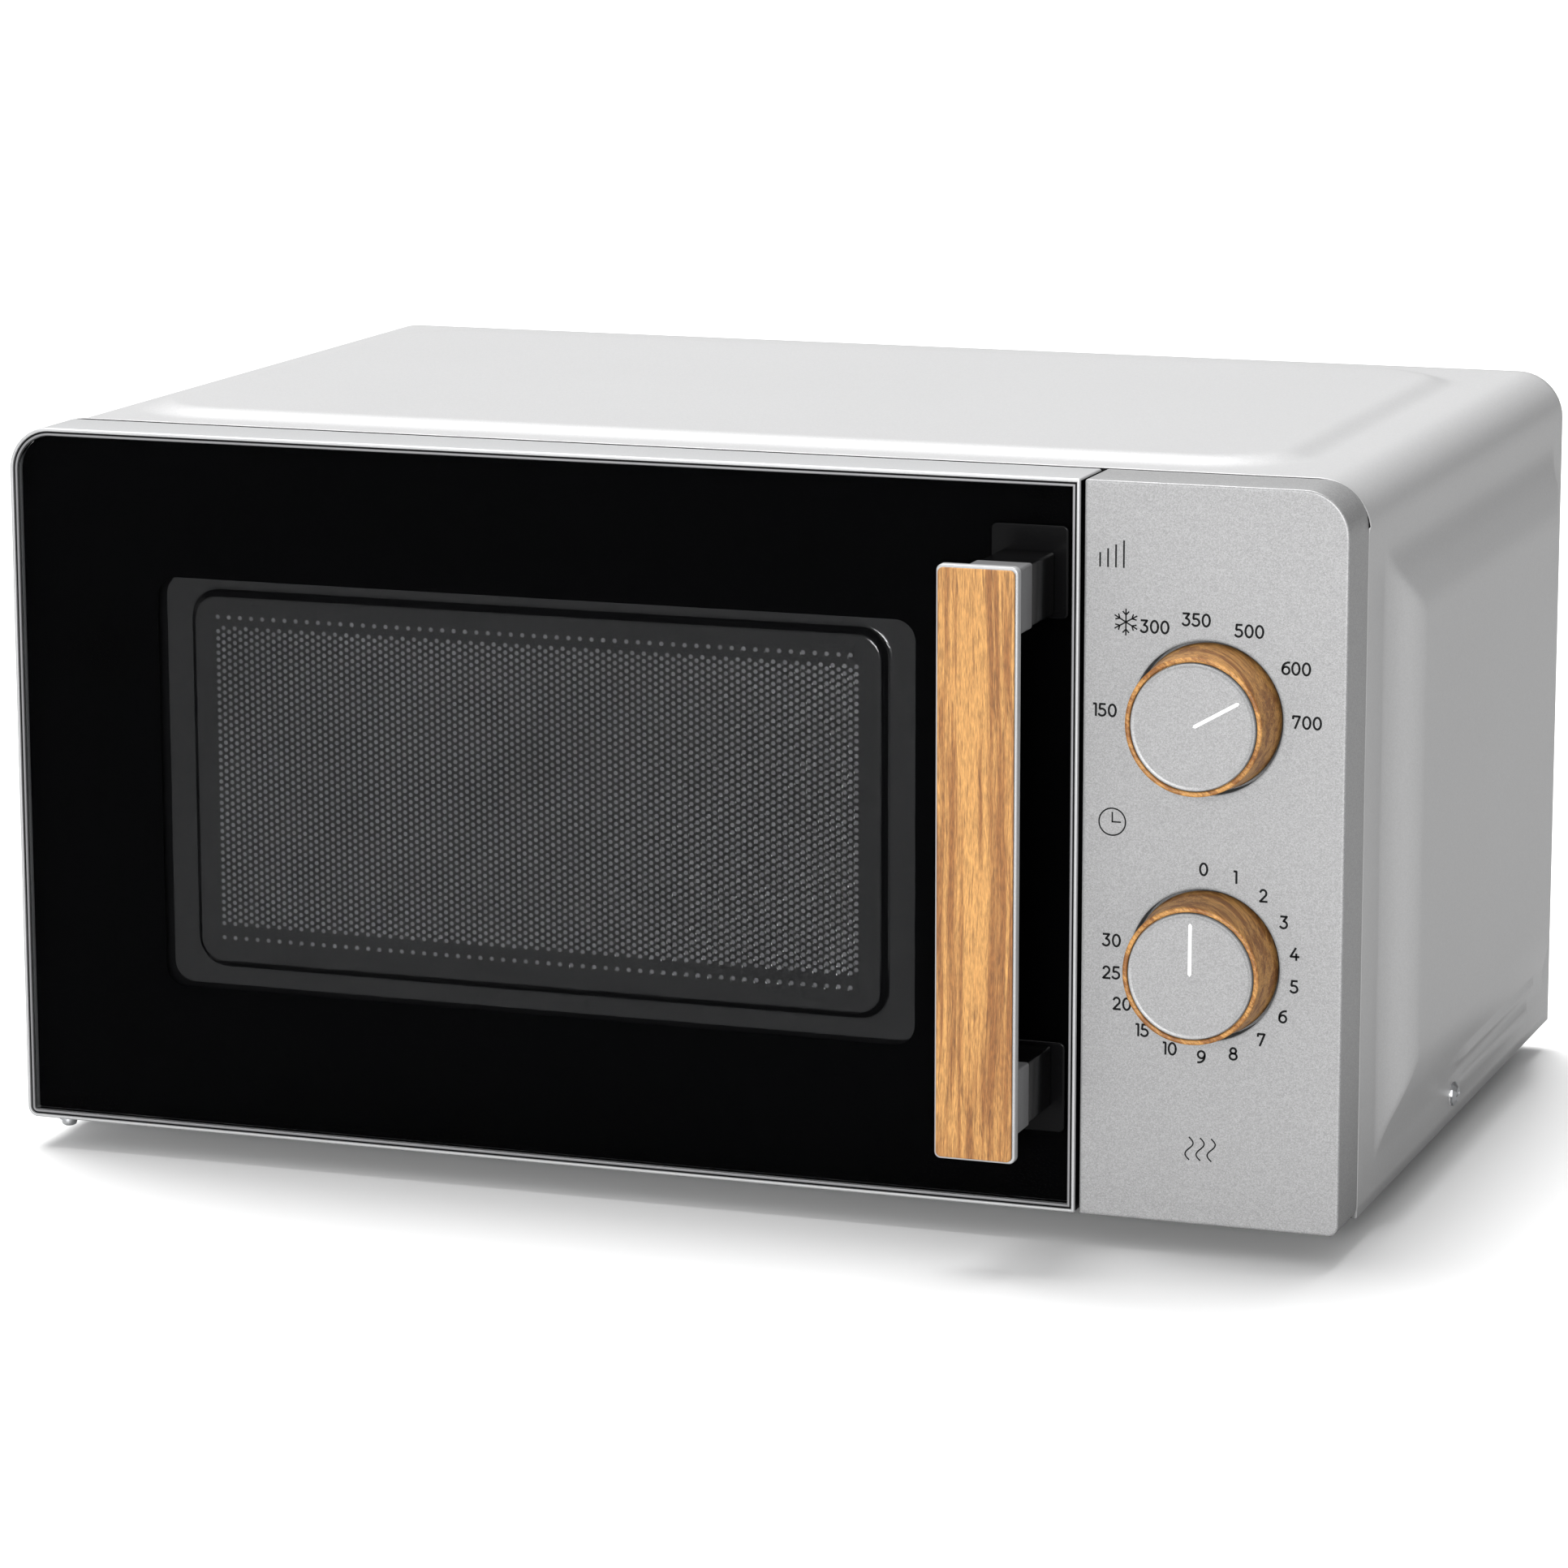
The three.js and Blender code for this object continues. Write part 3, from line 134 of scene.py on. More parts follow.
# adds nodes to a tree: a call makes a node, sets its fields, and joins the sockets it is given
class Wiring:
    def __init__(self, tree):
        self.tree = tree

    def __call__(self, kind, fields=None, **sockets):
        node = self.tree.nodes.new(kind)
        for field, value in (fields or {}).items():
            setattr(node, field, value)
        for label, value in sockets.items():
            self.feed(node, label.replace("_", " "), value)
        return node

    def feed(self, node, label, value):
        numbered = label[0] == "i" and label[1:].isdigit()
        socket = node.inputs[int(label[1:]) if numbered else label]
        if isinstance(value, bpy.types.NodeSocket):
            self.tree.links.new(value, socket)
        elif isinstance(value, bpy.types.Node):
            self.tree.links.new(value.outputs[0], socket)
        else:
            socket.default_value = value

    def maths(self, operation, a, b):
        return self("ShaderNodeMath", {"operation": operation}, i0=a, i1=b)

    def place(self):
        return self("ShaderNodeTexCoord").outputs["Object"]

    def noise(self, vector, scale, detail, rough=0.5):
        return self("ShaderNodeTexNoise", Vector=vector, Scale=scale, Detail=detail, Roughness=rough)

    def span(self, value, low, high, start=0.0, end=1.0):
        return self("ShaderNodeMapRange", Value=value, From_Min=start, From_Max=end, To_Min=low, To_Max=high)

    def scaled(self, colour, gain):
        node = self("ShaderNodeVectorMath", {"operation": "SCALE"}, i0=colour)
        self.feed(node, "Scale", gain)
        return node

    def coat(self, shader, colour, rough, normal):
        self.feed(shader, "Base Color", colour)
        self.feed(shader, "Roughness", rough)
        self.feed(shader, "Normal", normal)

    def mix(self, fac, a, b):
        return self("ShaderNodeMix", {"data_type": "RGBA"}, i0=fac, i6=a, i7=b).outputs[2]


def grey(value):
    return (value, value, value, 1)


# metallic paint: fine flakes and a soft cloud of tone over the colour, with a faint orange-peel normal
def makePaintGrain():
    group, wire = newGroup(
        "paintGrain",
        [("Color", "Color", grey(0.6)), ("Flake Scale", "Float", 900.0), ("Flake Amount", "Float", 0.12),
         ("Cloud Amount", "Float", 0.05), ("Peel", "Float", 0.05)],
        [("Color", "Color"), ("Roughness", "Float"), ("Normal", "Vector")])
    given = wire("NodeGroupInput").outputs
    place = wire.place()
    flakes = wire("ShaderNodeTexVoronoi", {"feature": "F1"}, Vector=place, Scale=given["Flake Scale"])
    fine = wire.noise(place, 3200.0, 2.0, 0.6)
    cloud = wire.noise(place, 9.0, 3.0)
    speck = wire.maths("SUBTRACT", wire("ShaderNodeSeparateColor", Color=flakes.outputs["Color"]), 0.5)
    shade = wire.maths("MULTIPLY", speck, given["Flake Amount"])
    softer = wire.maths("MULTIPLY", wire.maths("SUBTRACT", cloud, 0.5), given["Cloud Amount"])
    grain = wire.maths("MULTIPLY", wire.maths("SUBTRACT", fine, 0.5), given["Flake Amount"])
    gain = wire.maths("ADD", wire.maths("ADD", wire.maths("ADD", shade, softer), grain), 1.0)
    colour = wire.scaled(given["Color"], gain)
    rough = wire.span(fine, 0.36, 0.5)
    peel = wire.noise(place, 260.0, 1.0)
    bump = wire("ShaderNodeBump", Strength=given["Peel"], Distance=0.0004, Height=peel)
    wire("NodeGroupOutput", Color=colour, Roughness=rough, Normal=bump)
    return group


# light oak: noise stretched along the grain gives bands and streaks, a finer one the fibres, and a
# clipped one the short dark pores
def makeWoodGrain():
    group, wire = newGroup(
        "woodGrain",
        [("Vector", "Vector", None), ("Light", "Color", (0.52, 0.265, 0.08, 1)),
         ("Dark", "Color", (0.25, 0.1, 0.026, 1)), ("Pore", "Color", (0.11, 0.042, 0.012, 1))],
        [("Color", "Color"), ("Roughness", "Float"), ("Height", "Float")])
    given = wire("NodeGroupInput").outputs

    def stretched(across, along):
        return wire("ShaderNodeVectorMath", {"operation": "MULTIPLY"}, i0=bent, i1=(across, across, along))

    slow = wire("ShaderNodeVectorMath", {"operation": "MULTIPLY"}, i0=given["Vector"], i1=(30, 30, 7))
    warp = wire.noise(slow, 1.0, 2.0)
    bent = wire("ShaderNodeVectorMath", {"operation": "MULTIPLY_ADD"}, i0=warp.outputs["Color"],
                i1=(0.009, 0.009, 0), i2=given["Vector"])
    bands = wire.noise(stretched(170, 5), 1.0, 5.0, 0.6)
    streaks = wire.noise(stretched(620, 12), 1.0, 5.0, 0.7)
    fibres = wire.noise(stretched(2400, 320), 1.0, 3.0, 0.6)
    pores = wire.noise(stretched(2100, 75), 1.0, 2.0)
    blend = wire.maths("ADD", wire.maths("MULTIPLY", bands, 0.55), wire.maths("MULTIPLY", streaks, 0.45))
    tone = wire("ShaderNodeMapRange", {"interpolation_type": "SMOOTHSTEP"}, Value=blend, From_Min=0.42,
                From_Max=0.56)
    colour = wire.mix(tone, given["Dark"], given["Light"])
    grain = wire.span(fibres, 0.6, 1.26, 0.3, 0.7)
    fine = wire.scaled(colour, grain)
    spots = wire.span(pores, 0.0, 0.6, 0.6, 0.68)
    final = wire.mix(spots, fine, given["Pore"])
    rough = wire.span(fibres, 0.4, 0.6)
    wire("NodeGroupOutput", Color=final, Roughness=rough, Height=fibres)
    return group


# moulded plastic or enamel: slight mottling of tone and roughness, and a fine spark texture
def makeMoulding():
    group, wire = newGroup(
        "moulding",
        [("Color", "Color", grey(0.1)), ("Scale", "Float", 700.0), ("Tone", "Float", 0.1),
         ("Rough Low", "Float", 0.3), ("Rough High", "Float", 0.45)],
        [("Color", "Color"), ("Roughness", "Float"), ("Height", "Float")])
    given = wire("NodeGroupInput").outputs
    place = wire.place()
    fine = wire.noise(place, given["Scale"], 3.0)
    broad = wire.noise(place, 14.0, 4.0)
    gain = wire.maths("ADD", wire.maths("MULTIPLY", wire.maths("SUBTRACT", broad, 0.5), given["Tone"]), 1.0)
    colour = wire.scaled(given["Color"], gain)
    rough = wire.span(broad, given["Rough Low"], given["Rough High"], 0.3, 0.7)
    wire("NodeGroupOutput", Color=colour, Roughness=rough, Height=fine)
    return group


groups = {"paint": makePaintGrain(), "wood": makeWoodGrain(), "moulding": makeMoulding()}


def newMaterial(name, **constants):
    made = bpy.data.materials.new(name)
    made.use_nodes = True
    wire = Wiring(made.node_tree)
    shader = made.node_tree.nodes["Principled BSDF"]
    for label, value in constants.items():
        shader.inputs[label.replace("_", " ")].default_value = value
    return made, wire, shader


def paintMaterial(name, colour, metallic, flake=0.1, scale=2600.0, peel=0.05, **constants):
    made, wire, shader = newMaterial(name, Metallic=metallic, **constants)
    grain = wire("ShaderNodeGroup", {"node_tree": groups["paint"]}, Color=(*colour, 1), Flake_Scale=scale,
                 Flake_Amount=flake, Peel=peel)
    wire.coat(shader, grain.outputs["Color"], grain.outputs["Roughness"], grain.outputs["Normal"])
    return made


def mouldedMaterial(name, colour, rough=(0.35, 0.5), scale=900.0, tone=0.12, depth=0.00004, **constants):
    made, wire, shader = newMaterial(name, **constants)
    skin = wire("ShaderNodeGroup", {"node_tree": groups["moulding"]}, Color=(*colour, 1), Scale=scale,
                Tone=tone, Rough_Low=rough[0], Rough_High=rough[1])
    bump = wire("ShaderNodeBump", Strength=0.3, Distance=depth, Height=skin.outputs["Height"])
    wire.coat(shader, skin.outputs["Color"], skin.outputs["Roughness"], bump)
    return made


def woodMaterial(name, turn=(0, 0, 0)):
    made, wire, shader = newMaterial(name, Specular_IOR_Level=0.35)
    place = wire("ShaderNodeMapping", Vector=wire.place(), Rotation=np.radians(turn))
    grain = wire("ShaderNodeGroup", {"node_tree": groups["wood"]}, Vector=place)
    bump = wire("ShaderNodeBump", Strength=0.25, Distance=0.00008, Height=grain.outputs["Height"])
    path = wire("ShaderNodeLightPath")
    bounce = wire.maths("MAXIMUM", path.outputs["Is Diffuse Ray"], path.outputs["Is Glossy Ray"])
    colour = wire.mix(bounce, grain.outputs["Color"], grey(0.3))   # no orange cast on the paint round it
    wire.coat(shader, colour, grain.outputs["Roughness"], bump)
    return made


def zincMaterial(name):   # galvanised sheet: crystal cells of slightly different grey and roughness
    made, wire, shader = newMaterial(name, Metallic=0.9)
    place = wire.place()
    cells = wire("ShaderNodeTexVoronoi", Vector=place, Scale=150.0)
    value = wire("ShaderNodeSeparateColor", Color=cells.outputs["Color"])
    fine = wire.noise(place, 400.0, 3.0)
    colour = wire.mix(value, (0.46, 0.47, 0.485, 1), (0.54, 0.55, 0.56, 1))
    rough = wire.span(value, 0.3, 0.48)
    bump = wire("ShaderNodeBump", Strength=0.15, Distance=0.0001, Height=fine)
    wire.coat(shader, colour, rough, bump)
    return made


# clear or tinted glass that lets shadow rays through, tinted, so that what lies behind it is lit
def glassMaterial(name, colour, rough=0.02, ior=1.45, **constants):
    made, wire, shader = newMaterial(name, Transmission_Weight=1.0, IOR=ior, Metallic=0.0, **constants)
    place = wire.place()
    smear = wire.noise(place, 12.0, 4.0)
    tint = wire.mix(smear, (*colour, 1), tuple(c * 0.97 for c in colour) + (1,))
    haze = wire.span(smear, rough, rough * 2.0)
    wire.feed(shader, "Base Color", tint)
    wire.feed(shader, "Roughness", haze)
    path = wire("ShaderNodeLightPath")
    straight = wire("ShaderNodeBsdfTransparent", Color=tint)
    passing = wire.maths("MAXIMUM", path.outputs["Is Shadow Ray"], path.outputs["Is Diffuse Ray"])
    mixed = wire("ShaderNodeMixShader", i0=passing, i1=shader, i2=straight)
    wire.feed(made.node_tree.nodes["Material Output"], "Surface", mixed)
    return made


materials = {
    "casing_silver": paintMaterial("casingPaint", (0.46, 0.46, 0.463), 0.22),
    "panel_silver": paintMaterial("panelPaint", (0.275, 0.275, 0.277), 0.3, flake=0.34, scale=3000.0),
    "trim_silver": paintMaterial("trimPaint", (0.4, 0.403, 0.408), 0.3, flake=0.08, peel=0.03),
    "wood_look": woodMaterial("oakStrip"),
    "wood_ring": woodMaterial("oakRing", (40, 52, 0)),
    "black_plastic": mouldedMaterial("blackPlastic", (0.002, 0.002, 0.0022), (0.16, 0.24),
                                     Specular_IOR_Level=0.1),
    "black_print": mouldedMaterial("blackPrint", (0.001, 0.001, 0.0011), (0.5, 0.6), Specular_IOR_Level=0.0),
    "door_glass_black": glassMaterial("doorGlass", (0.86, 0.865, 0.87), 0.0, 1.06),
    "screen_black": mouldedMaterial("screenEnamel", (0.0035, 0.0035, 0.0038), (0.1, 0.16),
                                    Specular_IOR_Level=0.45),
    "clear_film": mouldedMaterial("doorFilm", (0.062, 0.062, 0.064), (0.4, 0.6), tone=0.9),
    "zinc_steel": zincMaterial("zincSteel"),
    "cavity_enamel": paintMaterial("cavityEnamel", (0.42, 0.43, 0.44), 0.1, flake=0.25, scale=900.0),
    "tray_glass": glassMaterial("trayGlass", (0.92, 0.98, 0.97)),
    "white_plastic": mouldedMaterial("whitePlastic", (0.74, 0.73, 0.69), (0.35, 0.5)),
    "mica": mouldedMaterial("micaSheet", (0.52, 0.47, 0.36), (0.5, 0.75), scale=200.0, tone=0.5),
    "copper_winding": mouldedMaterial("copperWinding", (0.45, 0.17, 0.07), (0.25, 0.45), Metallic=0.7),
    "dark_steel": zincMaterial("darkSteel"),
    "foot_rubber": mouldedMaterial("footRubber", (0.012, 0.012, 0.012), (0.7, 0.85)),
    "circuit_board": mouldedMaterial("circuitBoard", (0.03, 0.14, 0.05), (0.3, 0.5)),
    "ink": mouldedMaterial("panelInk", (0.005, 0.005, 0.0055), (0.5, 0.6), Specular_IOR_Level=0.1),
    "stub_grey": paintMaterial("stubPaint", (0.15, 0.15, 0.154), 0.35, flake=0.08),
    "lip_grey": paintMaterial("lipPaint", (0.2, 0.2, 0.206), 0.45, flake=0.06),
    # near-white of the knob pointers: a painted highlight for the glint along their edges
    "pointer_glint": mouldedMaterial("pointerGlint", (0.86, 0.86, 0.87), (0.25, 0.35)),
    "bright_steel": mouldedMaterial("brightSteel", (0.8, 0.8, 0.81), (0.18, 0.3), Metallic=0.7),
}
print("materials:", len(materials))


# quads of a grid of points: each joins a point to the next in its row and in its column
def gridFaces(rows, columns, closeRows=False, closeColumns=False):
    i = np.arange(rows if closeRows else rows - 1)[:, None]
    j = np.arange(columns if closeColumns else columns - 1)[None, :]
    nextI, nextJ = (i + 1) % rows, (j + 1) % columns
    corners = [i * columns + j, i * columns + nextJ, nextI * columns + nextJ, nextI * columns + j]
    return np.stack([c.ravel() for c in corners], axis=1)


def gridPiece(points, closeRows=False, closeColumns=False):
    rows, columns = points.shape[:2]
    return points.reshape(-1, 3), [gridFaces(rows, columns, closeRows, closeColumns)]


def joined(*pieces):   # several sets of points and faces as one
    points, faces, start = [], [], 0
    for verts, groupsOfFaces in pieces:
        points.append(verts)
        faces += [group + start for group in groupsOfFaces]
        start += len(verts)
    return np.concatenate(points), faces


def cap(loops, flip=False):   # a flat face between an outer loop and the holes in it, as triangles
    verts = np.concatenate(loops)
    triangles = np.array(tessellate_polygon([[Vector(p) for p in loop] for loop in loops]))
    return verts, [triangles[:, ::-1] if flip else triangles]


# puts points in millimetres and their faces into a mesh, and fastens the piece to its body
def makeObject(name, shape, body, slotName, material=None, replaces=(), weld=True, smooth=35, outward=True):
    verts, faceGroups = shape
    mesh = bpy.data.meshes.new(name)
    sizes = np.concatenate([np.full(len(group), group.shape[1]) for group in faceGroups])
    loops = np.concatenate([group.ravel() for group in faceGroups])
    mesh.vertices.add(len(verts))
    mesh.vertices.foreach_set("co", (np.asarray(verts, dtype=np.float32) * mm).ravel())
    mesh.loops.add(len(loops))
    mesh.loops.foreach_set("vertex_index", loops.astype(np.int32))
    mesh.polygons.add(len(sizes))
    starts = np.concatenate([[0], np.cumsum(sizes)[:-1]])
    mesh.polygons.foreach_set("loop_start", starts.astype(np.int32))
    mesh.update(calc_edges=True)
    mesh.validate()
    piece = bpy.data.objects.new(name, mesh)
    bpy.context.scene.collection.objects.link(piece)
    finishMesh(piece, weld, outward, smooth)
    piece.data.materials.append(materials[material or slotName])
    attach(piece, body)
    if replaces:
        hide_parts(*replaces)
    return piece


# merges doubles, turns the faces outwards, and shades smooth up to an angle
def finishMesh(piece, weld, outward, smooth):
    bpy.ops.object.select_all(action="DESELECT")
    bpy.context.view_layer.objects.active = piece
    piece.select_set(True)
    bpy.ops.object.mode_set(mode="EDIT")
    bpy.ops.mesh.select_all(action="SELECT")
    if weld:
        bpy.ops.mesh.remove_doubles(threshold=1e-6)
    if outward:
        bpy.ops.mesh.normals_make_consistent(inside=False)
    bpy.ops.object.mode_set(mode="OBJECT")
    if smooth:
        bpy.ops.object.shade_smooth_by_angle(angle=np.radians(smooth))


# a rectangle with rounded corners, from the lower left one round by the lower right
def roundedLoop(x, z, radii, steps=8):
    radii = [radii] * 4 if np.isscalar(radii) else radii
    centres = [(x[0] + radii[0], z[0] + radii[0]), (x[1] - radii[1], z[0] + radii[1]),
               (x[1] - radii[2], z[1] - radii[2]), (x[0] + radii[3], z[1] - radii[3])]
    parts = []
    for k, (centre, radius) in enumerate(zip(centres, radii)):
        angle = np.radians(np.linspace(180 + 90 * k, 270 + 90 * k, steps + 1))
        across, up = centre[0] + radius * np.cos(angle), centre[1] + radius * np.sin(angle)
        parts.append(np.stack([across, up], axis=1))
    return np.concatenate(parts)


def inset(x, z, radii, by, steps=8):   # the same loop moved inwards, its radii kept above nothing
    radii = np.maximum(np.array([radii] * 4 if np.isscalar(radii) else radii, dtype=float) - by, 0.02)
    return roundedLoop((x[0] + by, x[1] - by), (z[0] + by, z[1] - by), list(radii), steps)


def ringLoop(x, z, radius, steps=64):
    angle = np.linspace(0, 2 * np.pi, steps, endpoint=False)
    return np.stack([x + radius * np.cos(angle), z + radius * np.sin(angle)], axis=1)


def raised(loop, y):   # a loop in x and z as points at depth y
    return np.stack([loop[:, 0], np.full(len(loop), float(y)), loop[:, 1]], axis=1)


# inset and depth of a rounded front edge, the wall behind it, and a rounded back edge
def edgeProfile(y0, y1, edge, backEdge=None, steps=4):
    backEdge = edge if backEdge is None else backEdge
    angle = np.linspace(0, np.pi / 2, steps + 1)
    front = np.stack([edge * (1 - np.sin(angle)), y0 + edge * (1 - np.cos(angle))], axis=1)
    back = np.stack([backEdge * (1 - np.cos(angle)), y1 - backEdge * (1 - np.sin(angle))], axis=1)
    flat = [edge + 0.3, y0], [backEdge + 0.3, y1]   # keep the flat faces flat up to the curve
    return np.concatenate([[flat[0]], front, back, [flat[1]]])


# a plate: an edge profile carried round the outline and round each hole, closed by flat faces
def slab(outer, holes, y0, y1, edge, backEdge=None):
    profile = edgeProfile(y0, y1, edge, backEdge)
    parts, fronts, backs = [], [], []
    for k, loop in enumerate([outer, *holes]):
        sign = 1 if k == 0 else -1
        rows = np.stack([raised(loop(sign * step), y) for step, y in profile])
        parts.append(gridPiece(rows, closeColumns=True))
        fronts.append(rows[0])
        backs.append(rows[-1])
    return joined(*parts, cap(fronts), cap(backs, flip=True))


# a profile of radius and depth turned round an axis along Y, closed at its poles
def turnedPiece(profile, centre, steps=96, start=0.0):
    profile = np.array(profile, dtype=float)
    angle = np.linspace(0, 2 * np.pi, steps, endpoint=False) + start
    radius, depth = profile[:, 0][:, None], profile[:, 1][:, None]
    points = np.stack([centre[0] + radius * np.sin(angle), centre[1] + depth + 0 * angle,
                       centre[2] + radius * np.cos(angle)], axis=2)
    return gridPiece(points, closeColumns=True)


def upright(shape, centre):   # a piece turned round Y is laid so that its axis stands along Z at a centre
    verts, faces = shape
    x, y, z = verts.T
    return np.stack([centre[0] + x, centre[1] + z, centre[2] + y], axis=1), faces


# a profile with its inner corners rounded: each corner gives way to a curve between its two sides
def fillet(points, radius, steps=4):
    points = [np.array(p, dtype=float) for p in points]
    made = [points[0]]
    for before, corner, after in zip(points, points[1:], points[2:]):
        size = min(radius, np.linalg.norm(before - corner) / 2.01, np.linalg.norm(after - corner) / 2.01)
        start = corner + (before - corner) / max(np.linalg.norm(before - corner), 1e-9) * size
        end = corner + (after - corner) / max(np.linalg.norm(after - corner), 1e-9) * size
        for t in np.linspace(0, 1, steps + 1):
            made.append((1 - t) ** 2 * start + 2 * t * (1 - t) * corner + t ** 2 * end)
    made.append(points[-1])
    return made


def step01(value):
    value = np.clip(value, 0, 1)
    return value * value * (3 - 2 * value)


def crease(value, soft=0.06):   # a straight slope, its foot and crest only slightly rounded
    value = np.clip(value, 0, 1)
    return value - soft * np.sin(2 * np.pi * value)


casingLow, casingHigh = nodeBox("outer_casing")
panelLow, panelHigh = nodeBox("control_panel")
bezelLow, bezelHigh = nodeBox("door_bezel")
faceY = bezelLow[1]
leftX, rightX = bezelLow[0], panelHigh[0]
bottomZ, topZ = bezelLow[2], bezelHigh[2]
casing = {
    "corner": 16.0, "drop": 0.5, "sheet": 0.9, "hem": {"high": 0.9, "wide": 5.0},
    "bulge": 2.5, "sideBulge": 8.0,
    "topField": {"left": 27, "right": 39, "front": 26, "back": 26, "radius": 24, "slope": 10},
    "sideField": {"front": (22, 46), "back": (12, 38), "low": (14, 42), "high": (25, 46)},
    "ribs": {"z": (12.5, 21.5), "y": (130, 240), "half": 3.2, "high": 1.8},
}


# places along a line: each stretch gives its start, its end and how many steps it takes
def spread(*stretches):
    return np.unique(np.concatenate([np.linspace(a, b, n + 1) for a, b, n in stretches]).round(5))


# how far a point lies inside a rounded rectangle, negative outside it
def roundBoxInside(x, y, xSpan, ySpan, radius):
    dx = np.maximum(xSpan[0] + radius - x, x - xSpan[1] + radius)
    dy = np.maximum(ySpan[0] + radius - y, y - ySpan[1] + radius)
    outside = np.hypot(np.maximum(dx, 0), np.maximum(dy, 0))
    return radius - outside - np.minimum(np.maximum(dx, dy), 0)


# the U-shaped sheet: a path up one wall, over the top and down the other, carried along the depth. The
# pressed fields push it out along its own normal by a smooth step of the distance inside their outline
def makeCasing():
    y0, y1 = casingLow[1], casingHigh[1]
    corner, top = casing["corner"], topZ - casing["drop"]
    wall = top - corner - bottomZ
    quarter = corner * np.pi / 2
    flat = (rightX - leftX) - 2 * corner
    rise = spread((0, 12, 3), (12, 26, 8), (26, 48, 8), (48, wall - 35, 10), (wall - 35, wall, 14))
    over = spread((0, 4, 1), (4, 24, 12), (24, 45, 6), (45, flat - 50, 40), (flat - 50, flat - 26, 6),
                  (flat - 26, flat - 4, 12), (flat - 4, flat, 1))
    bend = np.linspace(0, quarter, 12)
    length = 2 * wall + 2 * quarter + flat
    along = np.concatenate([rise, wall + bend[1:], wall + quarter + over[1:],
                            wall + quarter + flat + bend[1:], length - rise[::-1][1:]])
    s = np.minimum(along, length - along)[:, None]   # mirrored about the middle
    mirror = np.where(along > length / 2, -1.0, 1.0)[:, None]
    angle = np.clip((s - wall) / corner, 0, np.pi / 2)
    x = leftX + corner - corner * np.cos(angle) + np.maximum(s - wall - quarter, 0)
    z = bottomZ + np.minimum(s, wall) + corner * np.sin(angle)
    normalX, normalZ = -np.cos(angle), np.sin(angle)
    x, normalX = np.where(mirror > 0, x, leftX + rightX - x), normalX * mirror
    depth = spread((y0, y0 + 1, 1), (y0 + 1, y0 + 24, 14), (y0 + 24, y0 + 50, 12), (y0 + 50, y1 - 50, 28),
                   (y1 - 50, y1 - 26, 6), (y1 - 26, y1 - 6, 12), (y1 - 6, y1, 2))[None, :]
    field = casing["topField"]
    slope = field["slope"]
    inside = roundBoxInside(x + 0 * depth, depth + 0 * x,
                            (leftX + field["left"] - slope, rightX - field["right"] + slope),
                            (y0 + field["front"] - slope, y1 - field["back"] + slope),
                            field["radius"] + slope)
    lift = casing["bulge"] * crease(inside / slope) * (angle > 1.5)
    sides = {"front": depth - y0, "back": y1 - depth, "low": z - bottomZ, "high": topZ - z}
    press = np.inf
    for side, distance in sides.items():
        foot, crest = casing["sideField"][side]
        press = np.minimum(press, (distance - foot) / (crest - foot))
    lift = lift + casing["sideBulge"] * crease(press) * (angle < 0.01)
    ribs = casing["ribs"]
    for ribZ in ribs["z"]:
        reach = np.maximum(np.abs(depth - y0 - np.mean(ribs["y"])) - np.ptp(ribs["y"]) / 2, 0)
        off = np.hypot(reach + 0 * z, (z - bottomZ - ribZ) + 0 * depth)
        lift = lift + ribs["high"] * step01(1 - off / ribs["half"]) * (angle < 0.01)
    hem = casing["hem"]   # the front edge stands proud of the sheet
    lift = lift + hem["high"] * step01(1 - (depth - y0) / hem["wide"]) * (angle > 0)
    points = np.stack([x + normalX * lift, depth + 0 * x + 0 * lift, z + normalZ * lift], axis=2)
    # a black strip just in front of the casing's front edge is painted shade: it stands for the shadowed gap
    # between the door and the casing
    proud = np.where(angle > 0, hem["high"] - 0.25, -1.6)   # shows along the top only
    ring, inner = (np.hstack([x + normalX * by, z + normalZ * by]) for by in (proud, -2.0))
    near, far = y0 - 0.05, y0 - 0.4
    rows = np.stack([raised(loop, y) for loop, y in ((inner, near), (ring, near), (ring, far), (inner, far))])
    makeObject("casingShadeStrip", gridPiece(rows, closeRows=True), "cabinet", "black_plastic")
    piece = makeObject("outerCasing", gridPiece(points[::-1]), "cabinet", "casing_silver",
                       replaces=("outer_casing",), outward=False, smooth=50)
    wall = piece.modifiers.new("wall", "SOLIDIFY")
    wall.thickness = casing["sheet"] * mm
    wall.offset = -1
    wall.use_even_offset = True


makeStudio()
makeCasing()
print("casing done")


dials = {"power": nodeBox("power_knob_cap"), "timer": nodeBox("timer_knob_cap")}
dialCentres = {name: ((low[0] + high[0]) / 2, (low[2] + high[2]) / 2) for name, (low, high) in dials.items()}
panel = {
    "corners": [0.8, 3.5, 14.5, 0.8], "edge": 0.7, "wall": 2.2,
    "recess": 24.2, "recessDepth": 8.0, "shaftHole": 4.0,
}


